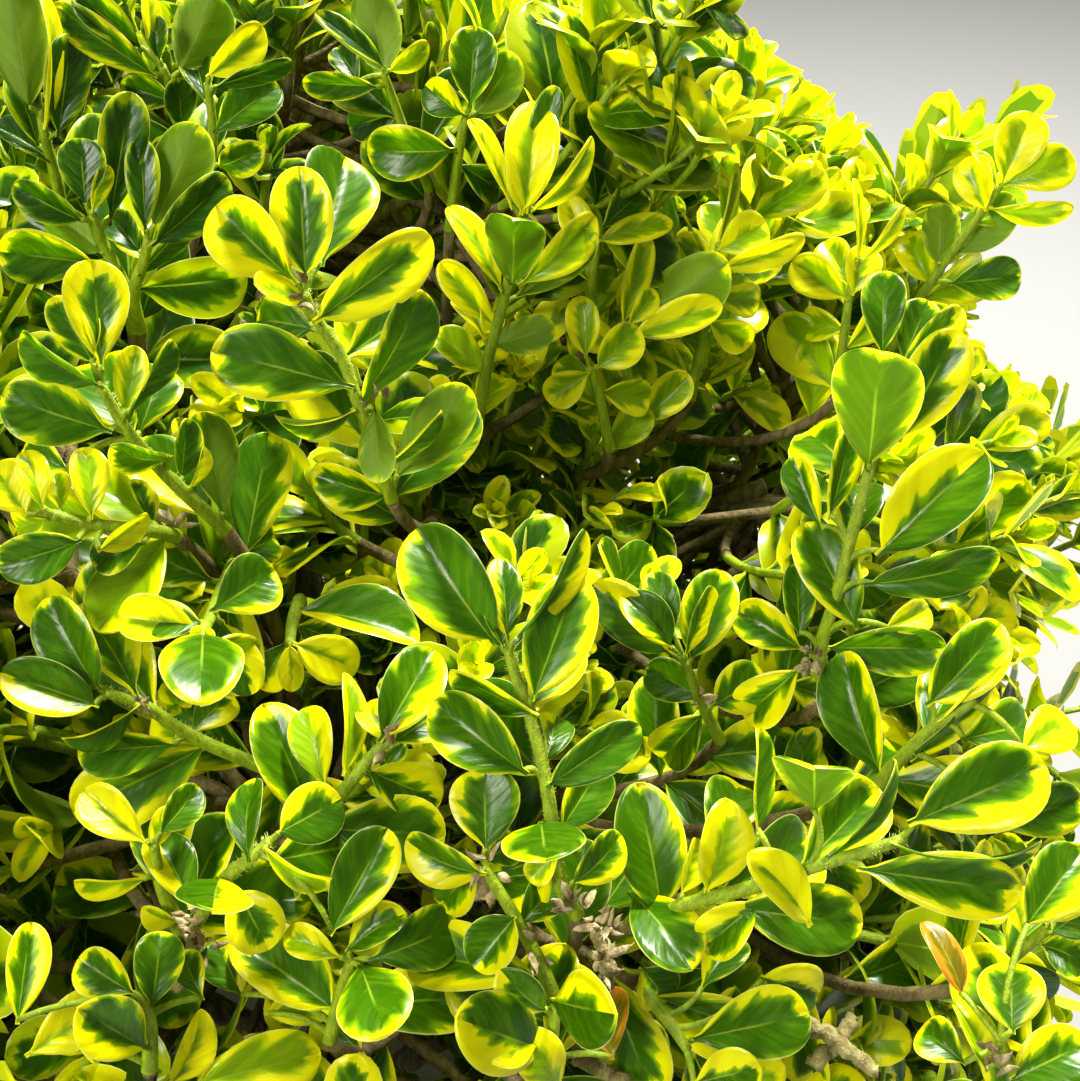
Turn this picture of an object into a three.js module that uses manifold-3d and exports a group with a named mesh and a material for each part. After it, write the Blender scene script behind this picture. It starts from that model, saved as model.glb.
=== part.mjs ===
// A variegated box bush: a rounded garden shrub rooted in the ground, whose ball has grown out into loose
// young shoots. A short trunk with a root flare carries one tapering bough for each mass of foliage, and each
// mass is a dense core with leafy twigs that stand out of it. Millimetres, +Z up, origin on the flat cut of
// the trunk at ground level.
import * as THREE from 'three';
import { mergeVertices } from 'three/addons/utils/BufferGeometryUtils.js';
import Module from 'manifold-3d';

const wasm = await Module();
wasm.setup();

// Driving dimensions of the crown
const CROWN_CENTRE = new THREE.Vector3(0, 0, 228);
const CROWN_RADIUS = 205;
const CROWN_LUMPS = 0.021;
const SHOOT_SHORTEST = 12;
const SHOOT_LONGEST = 46;
const LEADERS = 94;
const LOWEST_ELEVATION = -56;

// The masses: one on top, then two rings round the crown
const UPPER_RING = { count: 5, elevation: 36, firstAzimuth: -90 };
const LOWER_RING = { count: 7, elevation: -14, firstAzimuth: -64 };
const CELL_GAP = 1.6;
const LIMB_GAP = 0.3;
const GROUND_CLEARANCE = 6;

// The dense core of a mass, as shares of the crown's radius and as real sizes
const CORE_SHARE = 0.9;
const CORE_LUMPS = 0.06;
const CORE_INNER = 124;
const CORE_DETAIL = 3;
const HOLLOW_DETAIL = 1;
const SKIRT_RADIUS = 88;
const SKIRT_TOP = 192;

// The trunk and the boughs
const TRUNK_TOP = 205;
const TRUNK_LEAN = new THREE.Vector3(7, -4, 0);
const TRUNK_BOW = new THREE.Vector3(-5, 6, 0);
const TRUNK_FOOT_RADIUS = 15;
const TRUNK_TIP_RADIUS = 6;
const FLARE_RADIUS = 10;
const FLARE_HEIGHT = 26;
const FLARE_LOBES = 5;
const BOUGH_TIP_DISTANCE = 98;
const BOUGH_FOOT_RADIUS = 5.4;
const BOUGH_TIP_RADIUS = 3.4;
const LOWER_BOUGH_HEIGHTS = [62, 112];
const UPPER_BOUGH_HEIGHTS = [128, 176];
const TOP_BOUGH_HEIGHT = TRUNK_TOP;
const TOP_BOUGH_RUN = 40;
const BOUGH_OUTWARD = 34;
const STEM_RUN = 18;
const STEM_RADIUS = 3.1;
const STEM_TIP_RADIUS = 2;
const STEM_END_DISTANCE = 152;

// Leafy twigs, with leaves larger than life so that few of them still close the crown
const TWIG_START_BACK = 6;
const TWIG_START_SLOPE = 22;
const TWIG_BEND_AHEAD = 24;
const TWIG_BEND_SHARE = 0.6;
const TWIG_CELL_MARGIN = 0.035;
const TWIG_RADIUS = 2.8;
const TWIG_TIP_RADIUS = 2.2;
const LEAF_LENGTH = 50;
const LEAF_WIDTH_SHARE = 0.56;
const LEAF_KEEL = 0.8;
const LEAF_TIP_LIFT = 0.04;
const LEAF_CUP = 0.1;
const LEAF_SUNK = 0.2;
const WIDEST_AT = 0.62;
const STALK_WIDTH = 1.6;
const STALK_THICKNESS = 1.1;
const LEAF_PAIRS = [
  { along: 0.64, size: 1, spread: 70 },
  { along: 0.93, size: 0.8, spread: 44 },
];
const LEAF_SIZE_SPREAD = 0.12;
const PAIR_TURN = 90;
const TWIG_TURN = 70;
const LEAF_TRIES = [1, 0.78, 0.6];
const MASS_TRIES = 10;
const TRY_ROLL = 5;
const TRY_SHRINK = 0.01;

const GOLDEN_ANGLE = Math.PI * (3 - Math.sqrt(5));
const RADIANS = Math.PI / 180;
const CLEAN_TOLERANCES = [0.03, 0.05, 0.08, 0.12, 0.17, 0.23];
const CORNER_GRID = 0.004;

// The seeded rule: the same number for the same index and salt, between 0 and 1
function seeded(index, salt) {
  const wave = Math.sin(index * 12.9898 + salt * 78.233) * 43758.5453;
  return wave - Math.floor(wave);
}

function direction(azimuth, elevation) {
  return new THREE.Vector3(
    Math.cos(azimuth) * Math.cos(elevation),
    Math.sin(azimuth) * Math.cos(elevation),
    Math.sin(elevation),
  );
}

// The crown is a ball with soft swellings where a bough carries more shoots
function crownRadius(way) {
  const azimuth = Math.atan2(way.y, way.x);
  const threeWay = Math.sin(3 * azimuth + 0.6) * (1 - way.z * way.z);
  const twoWay = Math.sin(2 * azimuth - 1.1 + 3 * way.z);
  return CROWN_RADIUS * (1 + CROWN_LUMPS * (threeWay + twoWay));
}

// A closed geometry as a solid that can be joined and cut
function toSolid(geometry) {
  const bare = new THREE.BufferGeometry().setAttribute('position', geometry.getAttribute('position'));
  if (geometry.index) bare.setIndex(geometry.index);
  const merged = mergeVertices(bare, 1e-4);
  return new wasm.Manifold(new wasm.Mesh({
    numProp: 3,
    vertProperties: new Float32Array(merged.attributes.position.array),
    triVerts: new Uint32Array(merged.index.array),
  }));
}

// The geometry of a solid with its corners on a fine grid, or null where faces would then share an edge
// more than once
function griddedGeometry(solid) {
  const { vertProperties, triVerts } = solid.getMesh();
  const corners = [];
  const cornerAt = new Map();
  const onGrid = Array.from({ length: vertProperties.length / 3 }, (_, i) => {
    const steps = [0, 1, 2].map((axis) => Math.round(vertProperties[3 * i + axis] / CORNER_GRID));
    const key = steps.join();
    if (!cornerAt.has(key)) {
      cornerAt.set(key, corners.length / 3);
      corners.push(...steps.map((step) => step * CORNER_GRID));
    }
    return cornerAt.get(key);
  });
  const faces = [];
  const edges = new Set();
  for (let i = 0; i < triVerts.length; i += 3) {
    const [a, b, c] = [onGrid[triVerts[i]], onGrid[triVerts[i + 1]], onGrid[triVerts[i + 2]]];
    if (a !== b && b !== c && c !== a) {
      for (const edge of [`${a} ${b}`, `${b} ${c}`, `${c} ${a}`]) {
        if (edges.has(edge)) return null;
        edges.add(edge);
      }
      faces.push(a, b, c);
    }
  }
  const geometry = new THREE.BufferGeometry();
  geometry.setAttribute('position', new THREE.BufferAttribute(new Float32Array(corners), 3));
  return geometry.setIndex(faces);
}

// The largest body of a fused solid, without loose scraps and sealed hollows, as a clean geometry, or null
function mainBody(solid) {
  for (const tolerance of CLEAN_TOLERANCES) {
    const body = solid.simplify(tolerance).decompose()
      .reduce((best, found) => (found.volume() > best.volume() ? found : best));
    const geometry = griddedGeometry(body);
    if (geometry) return geometry;
  }
  return null;
}

// A limb: a closed cylinder bent along a curve, with its radius set along the way and round the section
function limb(curve, sides, steps, radiusAt) {
  const geometry = new THREE.CylinderGeometry(1, 1, 1, sides, steps);
  const position = geometry.getAttribute('position');
  const vertex = new THREE.Vector3();
  for (let i = 0; i < position.count; i += 1) {
    vertex.fromBufferAttribute(position, i);
    const along = THREE.MathUtils.clamp(vertex.y + 0.5, 0, 1);
    const angle = Math.atan2(vertex.z, vertex.x);
    const tangent = curve.getTangent(along);
    const helper = Math.abs(tangent.x) < 0.9 ? new THREE.Vector3(1, 0, 0) : new THREE.Vector3(0, 1, 0);
    const sideways = new THREE.Vector3().crossVectors(tangent, helper).normalize();
    const across = new THREE.Vector3().crossVectors(tangent, sideways);
    const reach = Math.hypot(vertex.x, vertex.z) * radiusAt(along, angle);
    vertex.copy(curve.getPoint(along))
      .addScaledVector(across, reach * Math.cos(angle))
      .addScaledVector(sideways, reach * Math.sin(angle));
    position.setXYZ(i, vertex.x, vertex.y, vertex.z);
  }
  return toSolid(geometry);
}

// The trunk, or with a gap the space that a bough leaves clear round it
const trunkLine = new THREE.CatmullRomCurve3([
  new THREE.Vector3(0, 0, 0),
  new THREE.Vector3(0, 0, TRUNK_TOP * 0.12),
  TRUNK_BOW.clone().setZ(TRUNK_TOP * 0.5),
  TRUNK_LEAN.clone().setZ(TRUNK_TOP),
]);

function trunkRadius(along, angle) {
  const height = along * TRUNK_TOP;
  const taper = THREE.MathUtils.lerp(TRUNK_FOOT_RADIUS, TRUNK_TIP_RADIUS, along);
  const flare = Math.max(0, 1 - height / FLARE_HEIGHT) ** 2;
  return taper + FLARE_RADIUS * flare * (0.7 + 0.3 * Math.cos(FLARE_LOBES * angle + 0.7));
}

function trunkSolid(gap) {
  return limb(trunkLine, 15, 8, (along, angle) => trunkRadius(along, angle) + gap);
}

// The masses' directions from the crown's centre
function ring({ count, elevation, firstAzimuth }, name, heights) {
  return Array.from({ length: count }, (_, k) => {
    const azimuth = (firstAzimuth + (360 * k) / count) * RADIANS;
    const share = ((k * 3) % count) / (count - 1);
    return {
      name: `${name}_${k + 1}`,
      way: direction(azimuth, elevation * RADIANS),
      boughHeight: THREE.MathUtils.lerp(heights[0], heights[1], share),
    };
  });
}

const masses = [
  { name: 'top', way: new THREE.Vector3(0, 0, 1), boughHeight: TOP_BOUGH_HEIGHT },
  ...ring(UPPER_RING, 'upper', UPPER_BOUGH_HEIGHTS),
  ...ring(LOWER_RING, 'lower', LOWER_BOUGH_HEIGHTS),
];

// Each mass keeps to the cone of points that are nearest to its own direction
function cellPlanes(mass) {
  return masses.filter((other) => other !== mass)
    .map((other) => new THREE.Vector3().subVectors(mass.way, other.way).normalize());
}

function inCell(point, planes, margin) {
  return planes.every((plane) => point.dot(plane) > margin);
}

// The skirt is the open foot of the crown, where the trunk and the lowest boughs show
function inSkirt(point) {
  return point.z < SKIRT_TOP - CROWN_CENTRE.z && Math.hypot(point.x, point.y) < SKIRT_RADIUS;
}

function ball(radiusAt, detail) {
  const geometry = new THREE.IcosahedronGeometry(1, detail);
  const position = geometry.getAttribute('position');
  const way = new THREE.Vector3();
  for (let i = 0; i < position.count; i += 1) {
    way.fromBufferAttribute(position, i).normalize();
    way.multiplyScalar(radiusAt(way));
    position.setXYZ(i, way.x, way.y, way.z);
  }
  geometry.deleteAttribute('normal');
  geometry.deleteAttribute('uv');
  return toSolid(geometry);
}

// The core of the whole crown, a thick lumpy shell that is open at the foot
function crownCore() {
  const lumpy = (way) => crownRadius(way) * CORE_SHARE
    * (1 + CORE_LUMPS * Math.sin(9 * way.x + 2) * Math.cos(8 * way.y - 5 * way.z));
  const skirt = new THREE.CylinderGeometry(SKIRT_RADIUS, SKIRT_RADIUS, CROWN_RADIUS * 2, 16, 1)
    .rotateX(Math.PI / 2)
    .translate(0, 0, SKIRT_TOP - CROWN_CENTRE.z - CROWN_RADIUS);
  return ball(lumpy, CORE_DETAIL)
    .subtract(ball(() => CORE_INNER, HOLLOW_DETAIL))
    .subtract(toSolid(skirt));
}

// One leaf: a three-sided cone drawn out into an egg-shaped blade on a short thick stalk, flat above and
// keeled below, with its foot at the origin, its tip along +X and its upper face up
function leafGeometry(length) {
  const geometry = new THREE.ConeGeometry(1, 1, 3, 2);
  const width = length * LEAF_WIDTH_SHARE;
  const position = geometry.getAttribute('position');
  for (let i = 0; i < position.count; i += 1) {
    const along = position.getY(i) + 0.5;
    const side = Math.abs(position.getX(i)) > 0.1 ? Math.sign(position.getX(i)) : 0;
    const keel = side === 0 && position.getZ(i) > 0.1 ? 1 : 0;
    if (along < 0.1) {
      position.setXYZ(i, 0, side * STALK_WIDTH * 0.5, STALK_THICKNESS * (0.5 * Math.abs(side) - 0.5 * keel));
    } else if (along > 0.9) {
      position.setXYZ(i, length, 0, length * LEAF_TIP_LIFT);
    } else if (side !== 0) {
      position.setXYZ(i, length * WIDEST_AT, side * width * 0.5, width * LEAF_CUP);
    } else {
      position.setXYZ(i, length * WIDEST_AT, 0, -LEAF_KEEL);
    }
  }
  return geometry;
}

// A leaf set on its twig: it leaves along `way` and turns its upper face to `up`
function placedLeaf(length, base, way, up) {
  const forward = way.clone().normalize();
  const left = new THREE.Vector3().crossVectors(up, forward).normalize();
  const face = new THREE.Vector3().crossVectors(forward, left);
  return leafGeometry(length).applyMatrix4(
    new THREE.Matrix4().makeBasis(forward, left, face).setPosition(base),
  );
}

function cornersFit(geometry, planes) {
  const position = geometry.getAttribute('position');
  const corner = new THREE.Vector3();
  for (let i = 0; i < position.count; i += 1) {
    corner.fromBufferAttribute(position, i);
    const grounded = corner.z + CROWN_CENTRE.z < GROUND_CLEARANCE;
    if (grounded || inSkirt(corner) || !inCell(corner, planes, CELL_GAP / 2)) return false;
    if (corner.length() < CORE_INNER) return false;
  }
  return true;
}

// The leaders: main twigs that end on the outline, spread evenly by the golden angle down to the skirt
const lowest = Math.sin(LOWEST_ELEVATION * RADIANS);
const leaders = Array.from({ length: LEADERS }, (_, k) => {
  const height = 1 - ((k + 0.5) / LEADERS) * (1 - lowest);
  const azimuth = k * GOLDEN_ANGLE;
  const way = direction(azimuth, Math.asin(height));
  const reach = THREE.MathUtils.lerp(SHOOT_SHORTEST, SHOOT_LONGEST, seeded(k, 1) ** 1.5);
  return { index: k, way, reach };
});

function nearestMass(way) {
  return masses.reduce((best, mass) => (mass.way.dot(way) > best.way.dot(way) ? mass : best));
}

function twigLine(mass, leader, planes) {
  const way = leader.way.clone();
  while (!inCell(way, planes, TWIG_CELL_MARGIN)) way.lerp(mass.way, 0.08).normalize();
  const start = STEM_END_DISTANCE - TWIG_START_BACK - TWIG_START_SLOPE * way.angleTo(mass.way);
  const foot = mass.way.clone().multiplyScalar(start);
  const tip = way.clone().multiplyScalar(crownRadius(way) + leader.reach);
  const bend = mass.way.clone().lerp(way, TWIG_BEND_SHARE).normalize()
    .multiplyScalar(STEM_END_DISTANCE + TWIG_BEND_AHEAD);
  return new THREE.QuadraticBezierCurve3(foot, bend, tip);
}

// The leaves of a twig, in crossed pairs: one that would leave the mass's space is made shorter or left out
function leavesOn(line, leader, planes, attempt) {
  const found = [];
  LEAF_PAIRS.forEach((pair, p) => {
    const outerHalf = (pair.along - 0.5) / 0.5;
    const base = line.getPoint(0.5).lerp(line.getPoint(1), outerHalf);
    const tangent = line.getTangent(pair.along);
    const level = new THREE.Vector3().crossVectors(tangent, new THREE.Vector3(0.3, 0.2, 1)).normalize();
    const roll = (p * PAIR_TURN + TWIG_TURN * seeded(leader.index, 2) + TRY_ROLL * attempt) * RADIANS;
    for (const side of [0, Math.PI]) {
      const outward = level.clone().applyAxisAngle(tangent, roll + side);
      const way = tangent.clone().multiplyScalar(Math.cos(pair.spread * RADIANS))
        .addScaledVector(outward, Math.sin(pair.spread * RADIANS));
      const chance = 2 * seeded(leader.index * 7 + p, 3 + side) - 1;
      const size = pair.size * (1 + LEAF_SIZE_SPREAD * chance);
      const length = (1 - TRY_SHRINK * attempt) * LEAF_LENGTH * size;
      const root = base.clone().addScaledVector(way, -LEAF_SUNK);
      const leaf = LEAF_TRIES.map((share) => placedLeaf(length * share, root, way, tangent))
        .find((tried) => cornersFit(tried, planes));
      if (leaf) found.push(toSolid(leaf));
    }
  });
  return found;
}

// A bough leaves the trunk's middle line at its own height, and the top one carries the trunk on from its end
function boughLine(mass) {
  const foot = trunkLine.getPoint(mass.boughHeight / TRUNK_TOP);
  const tip = mass.way.clone().multiplyScalar(BOUGH_TIP_DISTANCE).add(CROWN_CENTRE);
  if (mass.boughHeight === TRUNK_TOP) {
    const ahead = trunkLine.getTangent(1);
    foot.addScaledVector(ahead, LIMB_GAP);
    return new THREE.QuadraticBezierCurve3(foot, foot.clone().addScaledVector(ahead, TOP_BOUGH_RUN), tip);
  }
  const outward = new THREE.Vector3(mass.way.x, mass.way.y, 0).multiplyScalar(BOUGH_OUTWARD);
  const bend = foot.clone().add(outward).setZ(THREE.MathUtils.lerp(foot.z, tip.z, 0.36));
  return new THREE.QuadraticBezierCurve3(foot, bend, tip);
}

function boughGeometry(line, clearTrunk) {
  const radiusAt = (along) => THREE.MathUtils.lerp(BOUGH_FOOT_RADIUS, BOUGH_TIP_RADIUS, along);
  return mainBody(limb(line, 6, 5, radiusAt).subtract(clearTrunk));
}

// One mass, in the crown's own frame: the stem that takes over from the bough, the core and the leafy twigs.
// A try whose faces don't close cleanly is made again with its leaves turned a little and slightly shorter.
function massGeometry(mass, line, core) {
  const planes = cellPlanes(mass);
  const ahead = line.getTangent(1);
  const foot = line.getPoint(1).sub(CROWN_CENTRE).addScaledVector(ahead, LIMB_GAP);
  const stem = new THREE.QuadraticBezierCurve3(
    foot,
    foot.clone().addScaledVector(ahead, STEM_RUN),
    mass.way.clone().multiplyScalar(STEM_END_DISTANCE),
  );
  const stemRadius = (along) => THREE.MathUtils.lerp(STEM_RADIUS, STEM_TIP_RADIUS, along);
  const twigRadius = (along) => THREE.MathUtils.lerp(TWIG_RADIUS, TWIG_TIP_RADIUS, along);
  const body = planes.reduce((rest, plane) => rest.trimByPlane(plane.toArray(), CELL_GAP / 2), core);
  const own = leaders.filter((leader) => nearestMass(leader.way) === mass);
  const fused = (attempt) => mainBody(wasm.Manifold.union([
    limb(stem, 6, 2, stemRadius),
    body,
    ...own.flatMap((leader) => {
      const twig = twigLine(mass, leader, planes);
      return [limb(twig, 3, 2, twigRadius), ...leavesOn(twig, leader, planes, attempt)];
    }),
  ]));
  return Array.from({ length: MASS_TRIES }).reduce((made, _, attempt) => made ?? fused(attempt), null);
}

const bark = new THREE.MeshStandardMaterial({ color: 0x7a6650, roughness: 0.9, metalness: 0 });
const foliage = new THREE.MeshStandardMaterial({ color: 0x8fae1c, roughness: 0.45, metalness: 0 });

function namedMesh(name, geometry, material) {
  const mesh = new THREE.Mesh(geometry, material);
  mesh.name = name;
  return mesh;
}

const bush = new THREE.Group();
const crown = new THREE.Group();
crown.position.copy(CROWN_CENTRE);
bush.add(crown);
bush.add(namedMesh('trunk', mainBody(trunkSolid(0)), bark));

const clearTrunk = trunkSolid(LIMB_GAP);
const core = crownCore();
for (const mass of masses) {
  const line = boughLine(mass);
  bush.add(namedMesh(`bough_${mass.name}`, boughGeometry(line, clearTrunk), bark));
  crown.add(namedMesh(`foliage_${mass.name}`, massGeometry(mass, line, core), foliage));
}

export default bush;
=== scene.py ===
# %% [markdown]
# # A variegated box bush
# The plant is a rounded box bush that has grown out of its clipped ball into loose young shoots. Small
# leathery leaves sit in crossed pairs on stout green stems, each with a feathered green middle and a bright
# yellow edge. The solids of the trunk, the boughs and the masses of foliage are already there. This script
# dresses them: the limbs get bark, and every mass is grown again with real leaf sizes by the same seeded
# rule.

# %% Load the solids and keep their size
import math
from itertools import chain

import bmesh
import bpy
import numpy as np
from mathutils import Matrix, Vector, noise


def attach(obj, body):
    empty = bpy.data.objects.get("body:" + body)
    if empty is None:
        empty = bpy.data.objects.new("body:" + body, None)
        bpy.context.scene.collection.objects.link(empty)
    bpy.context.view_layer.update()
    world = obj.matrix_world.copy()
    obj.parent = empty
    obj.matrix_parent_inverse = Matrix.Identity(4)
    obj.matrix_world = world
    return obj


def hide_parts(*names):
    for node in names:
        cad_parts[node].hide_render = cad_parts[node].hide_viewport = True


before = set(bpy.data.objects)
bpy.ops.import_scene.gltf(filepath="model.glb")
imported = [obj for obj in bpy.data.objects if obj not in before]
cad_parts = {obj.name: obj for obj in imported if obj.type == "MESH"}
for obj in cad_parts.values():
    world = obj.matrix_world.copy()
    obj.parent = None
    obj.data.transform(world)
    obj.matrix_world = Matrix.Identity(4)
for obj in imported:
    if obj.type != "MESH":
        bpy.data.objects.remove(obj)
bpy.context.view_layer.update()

MM = 0.001

# %% [markdown]
# ## The camera
# The photograph looks down on the upper front of the ball from very near: a leaf in front measures about
# twice as many pixels as one at the crown's horizon. That sets the distance, and the crown's edge in the
# upper right corner sets the aim. The camera stays upright and has no depth of field.

# %% Camera
CROWN_CENTRE = np.array([0.0, 0.0, 228.0])
CAMERA_DISTANCE = 390.0
CAMERA_ELEVATION = math.radians(45)
AIM_YAW = math.radians(14.2)
AIM_PITCH = math.radians(-38.1)
FIELD = math.radians(45)
IMAGE_WIDTH, IMAGE_HEIGHT = 1080, 1081
FOCAL_PIXELS = IMAGE_WIDTH / 2 / math.tan(FIELD / 2)

from_crown = np.array([0, -math.cos(CAMERA_ELEVATION), math.sin(CAMERA_ELEVATION)])
camera_place = CROWN_CENTRE + CAMERA_DISTANCE * from_crown
level_aim = np.array([math.sin(AIM_YAW), math.cos(AIM_YAW), 0.0])
camera_forward = level_aim * math.cos(AIM_PITCH) + np.array([0.0, 0.0, math.sin(AIM_PITCH)])
camera_right = np.array([math.cos(AIM_YAW), -math.sin(AIM_YAW), 0.0])
camera_up = np.cross(camera_right, camera_forward)

lens = bpy.data.cameras.new("camera")
lens.angle = FIELD
lens.clip_start = 0.01
camera = bpy.data.objects.new("camera", lens)
bpy.context.scene.collection.objects.link(camera)
camera.location = Vector(camera_place * MM)
camera.rotation_euler = Vector(camera_forward).to_track_quat("-Z", "Y").to_euler()
bpy.context.scene.camera = camera
print("camera", [round(v, 3) for v in camera.location], "focal length in pixels", round(FOCAL_PIXELS))

# %% From millimetres to pixels and back
def to_pixels(points):
    """Pixel columns and rows of points in row millimetres, and how far each is from the camera."""
    away = points - camera_place
    deep = away @ camera_forward
    column = IMAGE_WIDTH / 2 + FOCAL_PIXELS * (away @ camera_right) / deep
    row = IMAGE_HEIGHT / 2 - FOCAL_PIXELS * (away @ camera_up) / deep
    return column, row, deep


def at(column, row, far):
    """The point on a pixel's line of sight at a distance from the camera, in row millimetres."""
    sight = (camera_forward + camera_right * (column - IMAGE_WIDTH / 2) / FOCAL_PIXELS
             + camera_up * (IMAGE_HEIGHT / 2 - row) / FOCAL_PIXELS)
    return camera_place + sight / np.linalg.norm(sight) * far


print("the crown's centre is at pixel", [round(float(v)) for v in to_pixels(CROWN_CENTRE)])

# %% [markdown]
# ## The rule that the bush grows by
# The masses of foliage keep to the directions that they have in the solids, and so do the leaders, the main
# twigs that end on the outline. The same seeded numbers are drawn again here, so each leader is as long as
# the one that it dresses.

# %% Sizes of the crown and its shoots
CROWN_RADIUS = 205
CROWN_LUMPS = 0.021
SHOOT_SHORTEST, SHOOT_LONGEST = 12, 46
LEADERS = 94
LOWEST = math.sin(math.radians(-56))
GOLDEN_ANGLE = math.pi * (3 - math.sqrt(5))
STEM_END_DISTANCE = 152
SKIRT_RADIUS, SKIRT_TOP = 88, 192
TRUNK_TOP = 205
print("crown", 2 * CROWN_RADIUS, "mm across, with", LEADERS, "leaders")

# %% The seeded rule, directions and the crown's radius
SEED_STEPS, SEED_SCALE = (12.9898, 78.233), 43758.5453
THREE_WAY_TURN, TWO_WAY_TURN, TWO_WAY_WIND = 0.6, 1.1, 3


def seeded(index, salt):
    """A number from 0 to 1 that looks random, and is the same each time for the same index and salt."""
    wave = math.sin(index * SEED_STEPS[0] + salt * SEED_STEPS[1]) * SEED_SCALE
    return wave - math.floor(wave)


def direction(azimuth, elevation):
    level = math.cos(elevation)
    return np.array([math.cos(azimuth) * level, math.sin(azimuth) * level, math.sin(elevation)])


def unit(vectors):
    return vectors / np.linalg.norm(vectors, axis=-1, keepdims=True)


def crown_radius(way):
    """The ball's radius towards a direction: shallow lumps, three round the waist and two that wind up."""
    azimuth = np.arctan2(way[..., 1], way[..., 0])
    three_way = np.sin(3 * azimuth + THREE_WAY_TURN) * (1 - way[..., 2] ** 2)
    two_way = np.sin(2 * azimuth - TWO_WAY_TURN + TWO_WAY_WIND * way[..., 2])
    return CROWN_RADIUS * (1 + CROWN_LUMPS * (three_way + two_way))


def spiral(count):
    """Directions spread evenly by the golden angle from the top down to the skirt."""
    height = 1 - (np.arange(count) + 0.5) / count * (1 - LOWEST)
    azimuth = np.arange(count) * GOLDEN_ANGLE
    level = np.sqrt(1 - height**2)
    return np.stack([np.cos(azimuth) * level, np.sin(azimuth) * level, height], 1)


print("radius at the top", round(float(crown_radius(np.array([0.0, 0.0, 1.0]))), 1), "mm")

# %% The masses of foliage and the leaders
def ring(name, count, elevation, first_azimuth, heights):
    """Masses spread round the trunk, with the heights that their boughs leave it at."""
    found = []
    for k in range(count):
        way = direction(math.radians(first_azimuth + 360 * k / count), math.radians(elevation))
        share = (k * 3) % count / (count - 1)
        found.append((f"{name}_{k + 1}", way, heights[0] + (heights[1] - heights[0]) * share))
    return found


masses = [("top", np.array([0.0, 0.0, 1.0]), TRUNK_TOP)]
masses += ring("upper", count=5, elevation=36, first_azimuth=-90, heights=(128, 176))
masses += ring("lower", count=7, elevation=-14, first_azimuth=-64, heights=(62, 112))
mass_names = [name for name, way, height in masses]
mass_ways = np.array([way for name, way, height in masses])

reach_range = SHOOT_LONGEST - SHOOT_SHORTEST
leader_ways = spiral(LEADERS)
leader_reach = np.array([SHOOT_SHORTEST + reach_range * seeded(k, 1) ** 1.5 for k in range(LEADERS)])
leader_mass = np.argmax(leader_ways @ mass_ways.T, 1)
print(len(masses), "masses, and leaders up to", round(leader_reach.max()), "mm past the ball")

# %% [markdown]
# ## Leaf and bark materials
# No two leaves of a bush have quite the same colour. Pictures of leaves would need a map for each piece, so
# every finish here is worked out by shader nodes from a point's place. A few helpers make and link the
# nodes. The first group, the cloudy tint, gives a leaf colour a faint change from place to place.

# %% Node helpers
def new_group(name, inputs, outputs):
    """A shader node group with named sockets, and its input and output nodes."""
    group = bpy.data.node_groups.new(name, "ShaderNodeTree")
    for label, kind, value in inputs:
        socket = group.interface.new_socket(label, in_out="INPUT", socket_type=kind)
        socket.default_value = value
    for label, kind in outputs:
        group.interface.new_socket(label, in_out="OUTPUT", socket_type=kind)
    return group, group.nodes.new("NodeGroupInput"), group.nodes.new("NodeGroupOutput")


def set_input(tree, socket, value):
    """Links another node's socket, or else sets a constant."""
    if isinstance(value, bpy.types.NodeSocket):
        tree.links.new(value, socket)
    else:
        socket.default_value = value


def node(tree, kind, inputs=None, **settings):
    made = tree.nodes.new(kind)
    for name, value in settings.items():
        setattr(made, name, value)
    for name, value in (inputs or {}).items():
        set_input(tree, made.inputs[name], value)
    return made


def maths(tree, operation, first, second=0.0, third=0.0, clamp=False):
    return node(tree, "ShaderNodeMath", {0: first, 1: second, 2: third}, operation=operation,
                use_clamp=clamp).outputs[0]


def moved(tree, value, before, after=(0.0, 1.0), smooth=False):
    """A value carried from one range to another and held at its ends."""
    ends = {"From Min": before[0], "From Max": before[1], "To Min": after[0], "To Max": after[1]}
    kind = "SMOOTHSTEP" if smooth else "LINEAR"
    made = node(tree, "ShaderNodeMapRange", {"Value": value, **ends}, interpolation_type=kind)
    return made.outputs["Result"]


def mixed(tree, factor, first, second, blend="MIX"):
    """A colour Mix node's result. Several of its sockets share a name, so they are taken by place."""
    made = tree.nodes.new("ShaderNodeMix")
    made.data_type = "RGBA"
    made.blend_type = blend
    for place, value in ((0, factor), (6, first), (7, second)):
        set_input(tree, made.inputs[place], value)
    return made.outputs[2]


def colour(red, green, blue):
    """A colour given as the 0 to 255 numbers of a screen, in Blender's linear values."""
    shares = [v / 255 for v in (red, green, blue)]
    linear = [v / 12.92 if v <= 10 / 255 else ((v + 0.055) / 1.055) ** 2.4 for v in shares]
    return (*linear, 1.0)


print("a leaf's yellow in linear values", [round(v, 3) for v in colour(240, 236, 2)])

# %% The cloudy tint group
CLOUD_ENDS = (0.35, 0.65)
GLOSS_ENDS, PLAIN_GLOSS = (0.3, 0.7), (0.26, 0.4)
tint, tint_in, tint_out = new_group(
    "cloudy tint",
    [("Base", "NodeSocketColor", (1, 1, 1, 1)), ("Other", "NodeSocketColor", (1, 1, 1, 1)),
     ("Clouds per metre", "NodeSocketFloat", 60.0)],
    [("Color", "NodeSocketColor"), ("Roughness", "NodeSocketFloat")])
place = node(tint, "ShaderNodeTexCoord").outputs["Object"]
clouds = node(tint, "ShaderNodeTexNoise", {"Vector": place, "Scale": tint_in.outputs["Clouds per metre"],
                                           "Detail": 2.0}).outputs["Fac"]
tinted = mixed(tint, moved(tint, clouds, CLOUD_ENDS), tint_in.outputs["Base"], tint_in.outputs["Other"])
tint.links.new(tinted, tint_out.inputs["Color"])
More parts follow.
